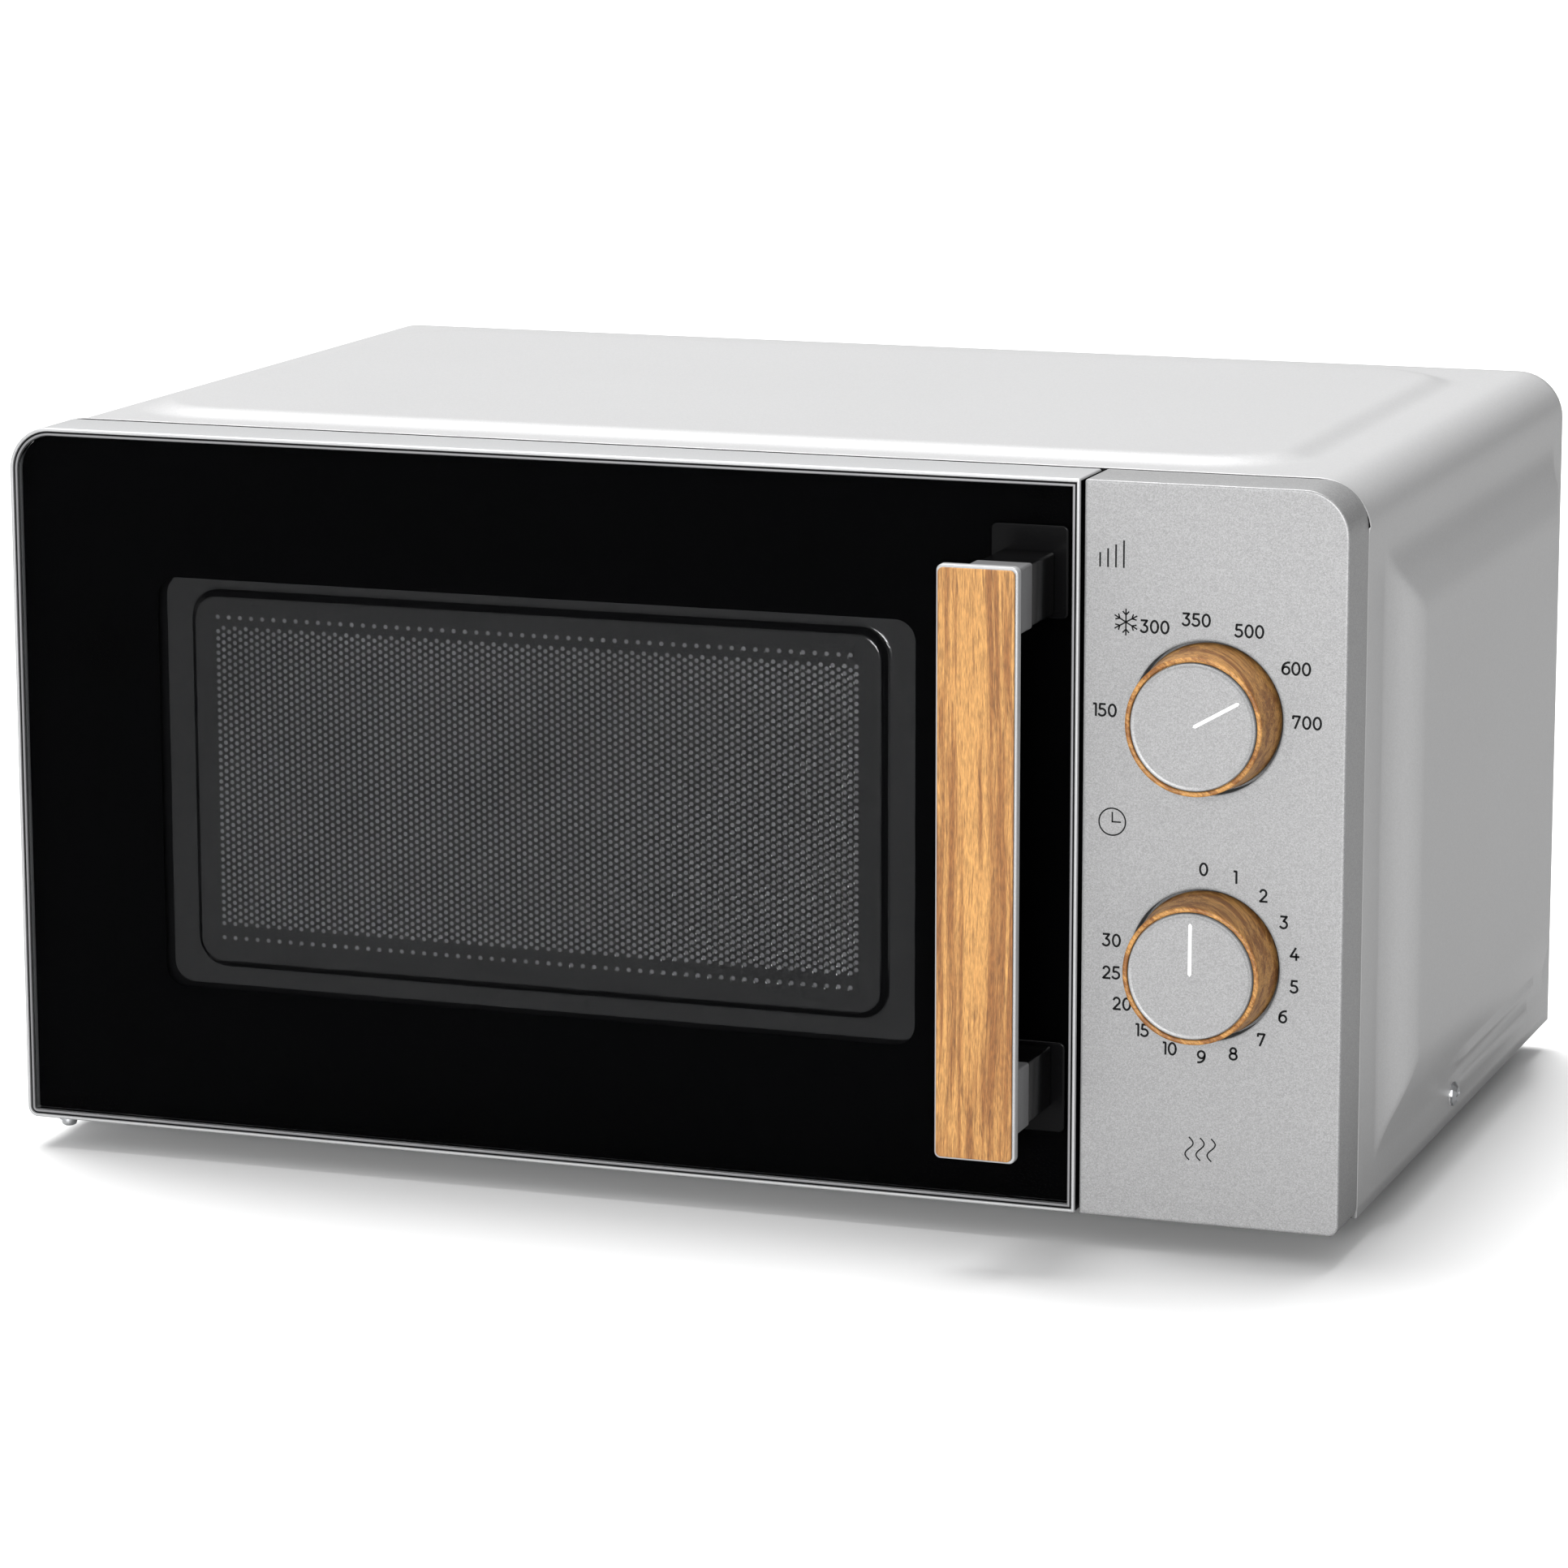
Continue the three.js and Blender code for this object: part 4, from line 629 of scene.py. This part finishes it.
# front shell: the outline's rounded edge runs back to the casing; each dial sits in a round cup
def makePanel():
    x, z = spans(panelLow, panelHigh)
    profile = edgeProfile(panelLow[1], panelHigh[1], panel["edge"], 0.0)[:-1]
    rows = np.stack([raised(inset(x, z, panel["corners"], by, 12), y) for by, y in profile])
    inner = np.stack([raised(inset(x, z, panel["corners"], panel["wall"], 12), y)
                      for y in (panelHigh[1], panelLow[1] + panel["wall"])])
    shell = gridPiece(np.concatenate([rows, inner]), closeColumns=True)
    cups, rims, backHoles = [], [], []
    cup, hole, floor, wall = panel["recess"], panel["shaftHole"], panel["recessDepth"], panel["wall"]
    steps = [(cup + 0.9, 0), (cup + 0.5, 0), (cup + 0.12, 0.15), (cup, 0.5), (cup, floor), (hole, floor),
             (hole, floor + wall), (cup + wall, floor + wall), (cup + wall, wall)]   # radius and depth
    for centreX, centreZ in dialCentres.values():
        loops = np.stack([raised(ringLoop(centreX, centreZ, radius), panelLow[1] + y) for radius, y in steps])
        cups.append(gridPiece(loops, closeColumns=True))
        rims.append(loops[0])
        backHoles.append(loops[-1])
    front = cap([rows[0], *rims])
    back = cap([inner[-1], *backHoles], flip=True)
    makeObject("controlPanel", joined(shell, *cups, front, back), "cabinet", "panel_silver",
               replaces=("control_panel",))


# painted shade: a black strip on the control panel's side wall, standing for the shadow in the gap beside the
# door
def makeGapLiner():   # dark side wall that the gap beside the door looks onto
    x = (panelLow[0] - 0.15, panelLow[0] - 0.03)
    z = (panelLow[2] + 0.6, panelHigh[2] - 0.6)
    outline = lambda step: roundedLoop(x, z, 0.02, 1)
    shadeStrip = slab(outline, [], panelLow[1] + 0.9, panelHigh[1], 0.01)
    makeObject("gapShadeStrip", shadeStrip, "cabinet", "black_plastic")


makePanel()
makeGapLiner()


ink = {"stroke": 0.68, "fine": 0.45, "clock": 0.46, "bars": 0.55, "lift": 0.03, "height": 3.7,
       "spacing": 0.2, "shift": np.array([-0.5, 0.6]), "timerCircle": 30}
powerMarks = {   # across and up from the dial's middle
    "150": (-32.4, 0.0), "300": (-16.6, 27.1), "350": (-3.3, 30.0),
    "500": (13.6, 27.4), "600": (28.6, 16.6), "700": (32.3, -0.1),
}


def arcPath(x, y, rx, ry, start, end, steps=14):
    angle = np.radians(np.linspace(start, end, steps + 1))
    return np.stack([x + rx * np.cos(angle), y + ry * np.sin(angle)], axis=1)


def glyph(digit):   # a digit as strokes in a box one unit high: lines and arcs of a plain geometric face
    line = lambda *points: np.array(points, dtype=float)
    shapes = {
        "0": [arcPath(0.35, 0.5, 0.31, 0.5, 0, 360, 28)],
        "1": [line((0.0, 1.0), (0.2, 1.0), (0.2, 0.0))],
        "2": [np.concatenate([arcPath(0.3, 0.7, 0.27, 0.3, 160, -35), line((0.02, 0.0), (0.62, 0.0))])],
        "3": [np.concatenate([line((0.04, 1.0), (0.56, 1.0), (0.27, 0.6)),
                              arcPath(0.27, 0.3, 0.31, 0.3, 88, -150)])],
        "4": [line((0.44, 1.0), (0.0, 0.27), (0.72, 0.27)), line((0.5, 0.52), (0.5, 0.0))],
        "5": [np.concatenate([line((0.56, 1.0), (0.12, 1.0), (0.08, 0.58)),
                              arcPath(0.28, 0.3, 0.32, 0.3, 105, -150)])],
        "6": [np.concatenate([arcPath(0.56, 0.42, 0.52, 0.57, 82, 180),
                              arcPath(0.34, 0.31, 0.3, 0.31, 180, 540, 24)])],
        "7": [line((0.02, 0.8), (0.02, 1.0), (0.6, 1.0), (0.2, 0.0))],
        "8": [arcPath(0.33, 0.76, 0.25, 0.24, 0, 360, 20), arcPath(0.33, 0.27, 0.31, 0.27, 0, 360, 24)],
        "9": [np.concatenate([arcPath(0.1, 0.58, 0.52, 0.57, -98, 0),
                              arcPath(0.32, 0.69, 0.3, 0.31, 0, 360, 24)])],
    }
    width = {"1": 0.24, "0": 0.7, "4": 0.72}.get(digit, 0.64)
    return shapes[digit], width


# a flat stroke: each point of a path moved half the width to both sides of its direction
def ribbon(path, width, y):
    along = np.gradient(path, axis=0)
    along /= np.maximum(np.linalg.norm(along, axis=1, keepdims=True), 1e-9)
    half = np.stack([-along[:, 1], along[:, 0]], axis=1) * width / 2
    ends = np.zeros_like(path)
    ends[0], ends[-1] = -along[0] * width * 0.3, along[-1] * width * 0.3
    rows = np.stack([raised(path + ends - half, y), raised(path + ends + half, y)])
    return gridPiece(rows)


# more points on each stretch, so that corners stay sharp when the stroke is given its width
def refine(path):
    parts = [path[:1]]
    for a, b in zip(path, path[1:]):
        near = np.linalg.norm(b - a) < 0.12
        places = [1.0] if near else [0.02, 0.5, 0.98, 1.0]
        parts.append(np.array([a + (b - a) * t for t in places]))
    return np.concatenate(parts)


def number(text, centre, y):
    parts, digits = [], [glyph(digit) for digit in text]
    cursor = -(sum(width for _, width in digits) + ink["spacing"] * (len(text) - 1)) / 2
    for paths, width in digits:
        for path in paths:
            place = (refine(path) + [cursor, -0.5]) * ink["height"] + centre + ink["shift"]
            parts.append(ribbon(place, ink["stroke"], y))
        cursor += width + ink["spacing"]
    return parts


def strokes(paths, centre, y, width=ink["fine"]):
    return [ribbon(np.array(path, dtype=float) + centre + ink["shift"], width, y) for path in paths]


def snowflake(size):   # six spokes, each with a pair of short branches
    paths = []
    for turn in np.radians(np.arange(0, 360, 60) + 90):
        tip = np.array([np.cos(turn), np.sin(turn)]) * size
        paths.append([(0, 0), tip / 2, tip])
        for lean in (-0.75, 0.75):
            out = np.array([np.cos(turn + lean), np.sin(turn + lean)]) * size * 0.34
            paths.append([tip * 0.55, tip * 0.55 + out / 2, tip * 0.55 + out])
    return paths


def makePrint():
    y = faceY - ink["lift"]
    parts = []
    timerX, timerZ = dialCentres["timer"]
    values = [str(n) for n in range(11)] + ["15", "20", "25", "30"]
    for k, text in enumerate(values):
        turn = np.radians(20 * k)
        out = ink["timerCircle"] * np.array([np.sin(turn), np.cos(turn)])
        parts += number(text, (timerX, timerZ) + out, y)
    powerX, powerZ = dialCentres["power"]
    for text, (across, up) in powerMarks.items():
        parts += number(text, (powerX + across, powerZ + up), y)
    parts += strokes(snowflake(4.1), (powerX - 25.9, powerZ + 28.1), y)
    bars = [[(2.55 * k, 0), (2.55 * k, 2 + k), (2.55 * k, 4.2 + 1.35 * k)] for k in range(4)]
    parts += strokes(bars, (powerX - 34.4, powerZ + 45.2), y, ink["bars"])
    hands = [[(0, 3.0), (0, 1.4), (0, 0)], [(-0.1, 0), (1.2, 0), (2.7, 0)]]
    clock = [arcPath(0, 0, 4.3, 4.3, 0, 360, 40), *hands]
    parts += strokes(clock, (timerX - 29.7, timerZ + 43.1), y, ink["clock"])
    swing = np.linspace(-np.pi, np.pi, 18)
    waves = [[(1.3 * np.sin(t) + 3.6 * k, 1.15 * t) for t in swing] for k in (-1, 0, 1)]
    parts += strokes(waves, (timerX, bottomZ + 24), y)   # plain heat sign
    makeObject("panelPrint", joined(*parts), "cabinet", "panel_silver", "ink", weld=False, smooth=0,
               outward=False)


makePrint()
print("panel done")


knob = {
    "cap": 20.0, "lip": 21.8, "base": 23.4, "hub": 7.0, "shaft": 3.3, "reach": 16.5, "skirt": 3.0,
    "proud": 0.2,
}
pointer = {
    "length": 17.0, "half": 0.6, "high": 0.3,
    "turn": {"power": 60.0, "timer": 0.0},   # degrees from the top
}


def knobAxis(name):
    x, z = dialCentres[name]
    return x, dials[name][0][1] + knob["reach"] + knob["proud"], z


# wood-look knob: a flared flank round a seat for the silver cap, hollow behind, with a hub for the shaft
def makeKnob(name):
    axis = knobAxis(name)
    front, cap, lip, base, skirt = -knob["reach"], knob["cap"], knob["lip"], knob["base"], knob["skirt"]
    seat, web, face = front + 2, front + 5, front - knob["proud"]
    flank = fillet([(cap + 0.25, seat), (cap + 0.3, front), (lip, front + 0.1), (lip + 0.5, front * 0.45),
                    (base, skirt), (base - 2, skirt), (cap, web), (knob["hub"], web), (knob["hub"], skirt),
                    (knob["shaft"], skirt), (knob["shaft"], web + 0.5)], 0.7)
    profile = [(0.0, seat), *flank, (0.0, web + 0.5)]
    makeObject(name + "Knob", turnedPiece(profile, axis), name + "_dial", "wood_look", "wood_ring",
               replaces=(name + "_knob",))
    capProfile = [(0, face), (cap - 1.4, face), (cap - 1.1, face), (cap - 0.8, face - 0.12),
                  (cap - 0.35, face - 0.1), (cap - 0.05, face + 0.25), (cap, face + 0.6),
                  (cap, face + 1.8), (0, face + 1.8)]
    makeObject(name + "Cap", turnedPiece(capProfile, axis), name + "_dial", "trim_silver", "panel_silver",
               replaces=(name + "_knob_cap",))
    makePointer(name, axis, face)


# pointer from the middle of the cap towards its rim: a low round-ended ridge, which is the real mark; its
# near-white colour is a painted highlight standing for the glint along its edges
def makePointer(name, axis, face):
    turn = np.radians(pointer["turn"][name])
    length, half, high = pointer["length"], pointer["half"], pointer["high"]
    place = np.linspace(0, 1, 25)
    past = np.maximum(np.abs(place - 0.5) * length - length / 2 + half, 0)   # beyond the straight part
    rounding = np.sqrt(np.clip(1 - past ** 2 / half ** 2, 0, 1))
    around = np.linspace(0, np.pi, 9)
    along = (place * length)[:, None] + 0 * around
    across = half * rounding[:, None] * np.cos(around)
    up = high * rounding[:, None] * np.sin(around)
    x = axis[0] + along * np.sin(turn) + across * np.cos(turn)
    z = axis[2] + along * np.cos(turn) - across * np.sin(turn)
    points = np.stack([x, axis[1] + face - up + 0.02, z], axis=2)
    makeObject(name + "Pointer", gridPiece(points), name + "_dial", "trim_silver", "pointer_glint",
               outward=False)


for dialName in dialCentres:
    makeKnob(dialName)
print("dials done")


door = {
    "corners": [3.5, 0.8, 0.8, 14.5], "rim": 2.6,
    "hingeSlot": {"wide": 15.5, "z": (234.6, 237.4), "from": 6.7},
    "print": {"left": 51.3, "right": 54.7, "bottom": 49.0, "top": 48.0, "radius": 7.0},
}
doorX, doorZ = spans(bezelLow, bezelHigh)


def doorRing(name, section, slotName, material=None, replaces=()):
    rows = np.stack([raised(inset(doorX, doorZ, door["corners"], by, 48), y) for by, y in section])
    slot = door["hingeSlot"]   # lets the upper hinge's plate through when the door swings
    x, z = rows[..., 0], rows[..., 2]
    inSlot = (x < doorX[0] + slot["wide"]) & (z > slot["z"][0]) & (z < slot["z"][1])
    rows[..., 1] = np.where(inSlot, np.minimum(rows[..., 1], faceY + slot["from"]), rows[..., 1])
    makeObject(name, gridPiece(rows, closeRows=True, closeColumns=True), "door", slotName, material, replaces)


def makeBezel():   # outer rim, dark groove in its face, and the lip that holds the glass
    back = bezelHigh[1]
    rim = [(1.0, back), (0.0, back), (0.0, faceY + 1.0), (0.1, faceY + 0.45), (0.35, faceY + 0.12),
           (0.75, faceY), (1.05, faceY + 0.08), (1.2, faceY + 0.35), (1.2, faceY + 1.6),
           (2.6, faceY + 1.6), (2.6, faceY + 6.5), (1.0, faceY + 6.5)]
    lip = [(1.75, faceY + 1.5), (1.75, faceY + 0.6), (1.85, faceY + 0.42), (2.1, faceY + 0.36),
           (2.45, faceY + 0.4), (2.6, faceY + 0.6), (2.6, faceY + 1.5)]
    groove = [(1.15, faceY + 0.75), (1.8, faceY + 0.75), (1.8, faceY + 1.4), (1.15, faceY + 1.4)]
    doorRing("doorBezel", rim, "trim_silver", replaces=("door_bezel",))
    doorRing("bezelLip", lip, "trim_silver", "lip_grey")
    doorRing("bezelGroove", groove, "trim_silver", "black_plastic")
    # painted shade: a black strip along the door's right side, standing for the shadow in the gap between the
    # door and the control panel
    x, z = (doorX[1] + 0.02, doorX[1] + 0.1), (doorZ[0] + 0.8, doorZ[1] - 0.6)
    side = lambda step: roundedLoop(x, z, 0.02, 1)
    makeObject("doorSideShade", slab(side, [], faceY + 0.8, back, 0.01), "door", "black_plastic")


def doorLoop(by):
    return lambda step: inset(doorX, doorZ, door["corners"], by + step, 12)


def makeGlass():
    low, high = nodeBox("door_glass")
    pane = slab(doorLoop(door["rim"] + 0.25), [], low[1], high[1], 0.5)
    makeObject("doorGlass", pane, "door", "door_glass_black", replaces=("door_glass",))
    edge = door["print"]
    window = lambda step: inset((leftX + edge["left"], doorX[1] - edge["right"]),
                                (bottomZ + edge["bottom"], topZ - edge["top"]), edge["radius"], -step)
    near, far = high[1] + 0.05, high[1] + 0.25
    layer = slab(doorLoop(door["rim"] + 0.3), [lambda step: window(-step)], near, far, 0.02)
    makeObject("glassPrint", layer, "door", "door_glass_black", "black_print")


screen = {
    "pitchX": 2.0, "pitchZ": 2.4, "hole": 0.82, "thick": 0.2,
    "left": 72.6, "right": 294.0, "bottom": 66.5, "top": 173.3,
    "emboss": {"left": 64.0, "right": 303.1, "bottom": 58.0, "top": 181.6, "radius": 8.0, "depth": 3.0},
}


# perforated steel: brick-laid cells, each a six-cornered hole in a cell whose side midpoints meet the
# corners of the next column, with a pressed frame round the field that stands out towards the glass
def makeScreen():
    low, high = nodeBox("door_screen")
    emboss = screen["emboss"]
    front, flat = low[1], low[1] + emboss["depth"]
    columns = int(round((screen["right"] - screen["left"]) / screen["pitchX"])) + 1
    rows = int(round((screen["top"] - screen["bottom"]) / screen["pitchZ"])) + 1
    column, row = np.meshgrid(np.arange(columns), np.arange(-1, rows + 1), indexing="ij")
    shift = (column % 2) * screen["pitchZ"] / 2
    centreX = leftX + screen["left"] + column * screen["pitchX"]
    centreZ = bottomZ + screen["bottom"] + row * screen["pitchZ"] + shift
    sparse = (row == 0) | (row == rows - 1)
    blank = (row < 0) | (row == 1) | (row == rows - 2) | (row == rows) | (sparse & (column % 2 == 1))
    halfX, halfZ = screen["pitchX"] / 2, screen["pitchZ"] / 2
    outer = np.array([(halfX, 0), (halfX, halfZ), (-halfX, halfZ), (-halfX, 0), (-halfX, -halfZ),
                      (halfX, -halfZ)])
    angle = np.radians([0, 60, 120, 180, 240, 300])
    innerRing = np.stack([np.cos(angle), np.sin(angle)], axis=1) * screen["hole"]

    def ringOf(template, y, keep):
        x = centreX[keep][:, None] + template[:, 0]
        z = centreZ[keep][:, None] + template[:, 1]
        return np.stack([x, np.full_like(x, y), z], axis=2)

    pierced = ~blank
    rings = [ringOf(outer, front, pierced), ringOf(innerRing, front, pierced),
             ringOf(innerRing, front + screen["thick"], pierced)]
    count = rings[0].shape[0]
    points = np.stack(rings, axis=1).reshape(-1, 3)
    firsts = np.arange(count)[:, None, None] * 18   # each cell has three rings of six points
    faces = [(firsts + gridFaces(3, 6, closeColumns=True)).reshape(-1, 4)]
    plain = ringOf(outer, front, blank)
    solid = (plain.reshape(-1, 3), [np.arange(plain.shape[0] * 6).reshape(-1, 6)])
    makeObject("screenField", joined((points, faces), solid), "door", "screen_black", outward=False, smooth=0)
    fieldX = leftX + screen["left"] + np.array([-halfX, (columns - 0.5) * screen["pitchX"]])
    fieldZ = bottomZ + screen["bottom"] + np.array([-halfZ, (rows - 0.5) * screen["pitchZ"]])
    stepX = (leftX + emboss["left"], leftX + emboss["right"])
    stepZ = (bottomZ + emboss["bottom"], bottomZ + emboss["top"])
    bend = [(1.4, 0.03), (1.0, 0.03), (0.7, 0.08), (0.4, 0.25), (0.2, 0.5), (0.0, 0.9), (-1.2, 2.2),
            (-1.5, 2.6), (-1.9, 2.85), (-2.4, 3.0), (-3.0, 3.0)]   # inset and depth of the step
    rimLoop = roundedLoop(*spans(low, high), 2.0)
    bands = [raised(roundedLoop(fieldX, fieldZ, 0.05), front + 0.03),
             *[raised(inset(stepX, stepZ, emboss["radius"], by), front + depth) for by, depth in bend],
             raised(rimLoop, flat), raised(rimLoop, high[1])]
    lining = roundedLoop((fieldX[0] - 2, fieldX[1] + 2), (fieldZ[0] - 2, fieldZ[1] + 2), 1.0, 2)
    film = slab(lambda step: lining, [], front + screen["thick"] + 0.04, front + screen["thick"] + 0.2, 0.01)
    makeObject("screenLining", film, "door", "clear_film")
    makeObject("screenFrame", gridPiece(np.stack(bands), closeColumns=True), "door", "screen_black",
               replaces=("door_screen",), outward=False, smooth=40)


makeBezel()
makeGlass()
makeScreen()
print("door done")


handle = {"bar": 3.4, "radius": 2.0, "edge": 0.45, "collar": 0.3, "plateRadius": 1.6, "bow": 1.1}


def faceLoop(low, high, radius, steps=6):
    return lambda step: inset(*spans(low, high), radius, step, steps)


# a plate the size of its node's box, with rounded corners and edges
def blockSlab(name, node, radius, edge, slotName):
    low, high = nodeBox(node)
    makeObject(name, slab(faceLoop(low, high, radius), [], low[1], high[1], edge), "door", slotName,
               replaces=(node,))


# seat of a post on the glass: rounded corners, with the edge away from the bar's middle bowed a little
def makePlate(side):
    low, high = nodeBox("handle_plate_" + side)
    away = 1 if side == "upper" else -1
    middle = (low[0] + high[0]) / 2

    def outline(step):
        loop = faceLoop(low, high, handle["plateRadius"])(step)
        top = high[2] if away > 0 else low[2]
        near = np.clip(1 - np.abs(loop[:, 1] - top) / 4, 0, 1)
        sag = handle["bow"] * ((loop[:, 0] - middle) / (high[0] - low[0]) * 2) ** 2
        return np.stack([loop[:, 0], loop[:, 1] - away * near * sag], axis=1)

    plate = slab(outline, [], low[1], high[1], 0.4)
    makeObject("handlePlate" + side.capitalize(), plate, "door", "black_plastic",
               replaces=("handle_plate_" + side,))


def makeHandle():
    low, high = nodeBox("handle_bar")
    barBack = low[1] + handle["bar"]
    bar = slab(faceLoop(low, high, handle["radius"]), [], low[1], barBack, handle["edge"])
    stubs = []
    for side in ("lower", "upper"):
        postLow, postHigh = nodeBox("handle_post_" + side)
        collar = faceLoop(postLow - handle["collar"], postHigh + handle["collar"], 0.8, 4)
        stubs.append(slab(collar, [], barBack - 0.5, high[1], 0.3))
    makeObject("handleBar", bar, "door", "trim_silver", replaces=("handle_bar",))
    makeObject("handleStubs", joined(*stubs), "door", "trim_silver", "stub_grey")
    blockSlab("handleStrip", "handle_strip", 1.7, 0.3, "wood_look")
    for side in ("lower", "upper"):
        blockSlab("handlePost" + side.capitalize(), "handle_post_" + side, 1.0, 0.4, "black_plastic")
        makePlate(side)


makeHandle()
print("handle done")


screw = {"head": 3.3, "high": 2.1, "washer": 0.5, "slot": 0.42, "deep": 0.9, "long": 1.9, "seat": 2.2}


# pan-head screw with its washer: the domed head is a grid whose crown sinks along two crossed slots
def crossHead(name, node, axis, direction):
    low, high = nodeBox(node)
    centre = (low + high) / 2
    washer = screw["washer"]
    radius = np.array([*np.linspace(0, 2.7, 10), 2.95, 3.15, 3.28, 3.3, 3.3, 3.9, 4.1, 4.1])
    dome = np.sqrt(np.clip(1 - (radius / (screw["head"] + 0.01)) ** 2, 0, 1)) ** 0.6
    rise = washer + (screw["high"] - washer) * dome
    rise[13:] = [washer + 0.25, washer, washer, washer - 0.15, 0.0]
    angle = np.linspace(0, 2 * np.pi, 64, endpoint=False) + 0.05
    u, v = radius[:, None] * np.cos(angle), radius[:, None] * np.sin(angle)
    near, far = np.minimum(np.abs(u), np.abs(v)), np.maximum(np.abs(u), np.abs(v))
    across = step01((screw["slot"] - near) / 0.3 + 0.5)
    sink = screw["deep"] * across * step01((screw["long"] - far) / 0.5 + 0.5)
    out = (high if direction > 0 else low)[axis] + direction * (rise[:, None] - sink - screw["seat"])
    place = [centre[0] + u, centre[1] + u, centre[2] + v]
    place[axis] = out
    head = gridPiece(np.stack(place, axis=2), closeColumns=True)
    makeObject(name, head, "cabinet", "zinc_steel", "bright_steel", smooth=40)


for sideName, sign in (("left", -1), ("right", 1)):
    crossHead("sideScrew" + sideName.capitalize(), "side_screw_" + sideName, 0, sign)
    crossHead("rearScrew" + sideName.capitalize(), "rear_screw_" + sideName, 1, 1)


def makeFeet():
    for name in ("front_left", "front_right", "rear_left", "rear_right"):
        low, high = nodeBox("foot_" + name)
        centre = ((low[0] + high[0]) / 2, (low[1] + high[1]) / 2, 0)
        flank = fillet([(5.5, 1.2), (6.0, 0), (8.4, 0), (9.4, 1.2), (9.9, 4.4), (9.4, 4.8), (9.4, 5.6),
                        (10.2, 6.0), (10.9, 10.8), (8.0, 10.8)], 0.5)
        profile = [(0, 1.2), (5.5, 1.2), *flank, (5.0, 10.8), (5.0, 13.4), (0, 13.4)]
        makeObject("foot" + "".join(word.capitalize() for word in name.split("_")),
                   upright(turnedPiece(profile, (0, 0, 0), 64), centre), "cabinet", "foot_rubber",
                   replaces=("foot_" + name,))


def makeHingePin():   # riveted end of the lower hinge's pin, below its plate
    low, high = nodeBox("lower_hinge")
    centre = ((low[0] + high[0]) / 2, low[1] + 4, 0)
    profile = [(0, 4.9), (1.6, 4.9), (2.3, 5.3), (2.6, 6.0), (2.6, 7.0), (3.3, 7.1), (3.3, 7.9), (0, 7.9)]
    makeObject("hingePin", upright(turnedPiece(profile, (0, 0, 0), 32), centre), "cabinet", "zinc_steel")


def makeBushing():
    low, high = nodeBox("cord_bushing")
    centre = ((low[0] + high[0]) / 2, low[1], (low[2] + high[2]) / 2)
    long = high[1] - low[1]
    profile = fillet([(2.9, 0), (5.2, 0), (5.6, 0.5), (5.6, 6.4), (8.9, 6.4), (8.9, long - 0.6), (8.2, long),
                      (3.6, long), (2.9, long - 0.8), (2.9, 0)], 0.4)
    makeObject("cordBushing", turnedPiece(profile, centre, 64), "cabinet", "black_plastic",
               replaces=("cord_bushing",))


makeFeet()
makeBushing()
makeHingePin()


tray = {
    "deep": 10, "slope": 21,
    "lugs": (30, 150, 270), "lugHalf": 2.4, "lugReach": (9.2, 14.8), "lugHigh": 3.8,
}


def makeTurntable():
    low, high = nodeBox("glass_tray")
    motorLow, motorHigh = nodeBox("turntable_motor")
    centre = ((motorLow[0] + motorHigh[0]) / 2, (motorLow[1] + motorHigh[1]) / 2, 0)
    under, top, radius = high[2] - tray["deep"], high[2], (high[0] - low[0]) / 2
    flat = radius - tray["slope"]
    rim = fillet([(flat, under), (flat + 8, under + 1.5), (radius - 0.3, top - 2), (radius - 0.1, top - 0.5),
                  (radius - 1.2, top - 0.1), (flat + 8, under + 5.1), (flat - 2, under + 4)], 1.2)
    profile = [(0, under), (flat, under), *rim, (flat - 24, under + 4), (flat - 24.5, under + 3.7),
               (flat - 26, under + 3.7), (flat - 26.5, under + 4), (0, under + 4)]
    plate = upright(turnedPiece(profile, (0, 0, 0), 160), centre)
    lugs = []
    for angle in np.radians(tray["lugs"]):
        across, along = np.meshgrid([-tray["lugHalf"], tray["lugHalf"]], tray["lugReach"], indexing="ij")
        x = centre[0] + along * np.cos(angle) - across * np.sin(angle)
        y = centre[1] + along * np.sin(angle) + across * np.cos(angle)
        loop = np.stack([x.ravel(), y.ravel()], axis=1)[[0, 1, 3, 2]]
        ends = (under + 1, under - tray["lugHigh"])
        rows = np.stack([np.column_stack([loop, np.full(4, z)]) for z in ends])
        lugs.append(joined(gridPiece(rows, closeColumns=True), (rows[1], [np.array([[0, 1, 2, 3]])])))
    makeObject("glassTray", joined(plate, *lugs), "tray", "tray_glass", replaces=("glass_tray",))


makeTurntable()
print("small parts done")


for subpart in frame["record"]["subparts"]:
    for place in frame["nodes"][subpart["node"]].material_slots:
        place.material = materials[subpart["material_slot"]]
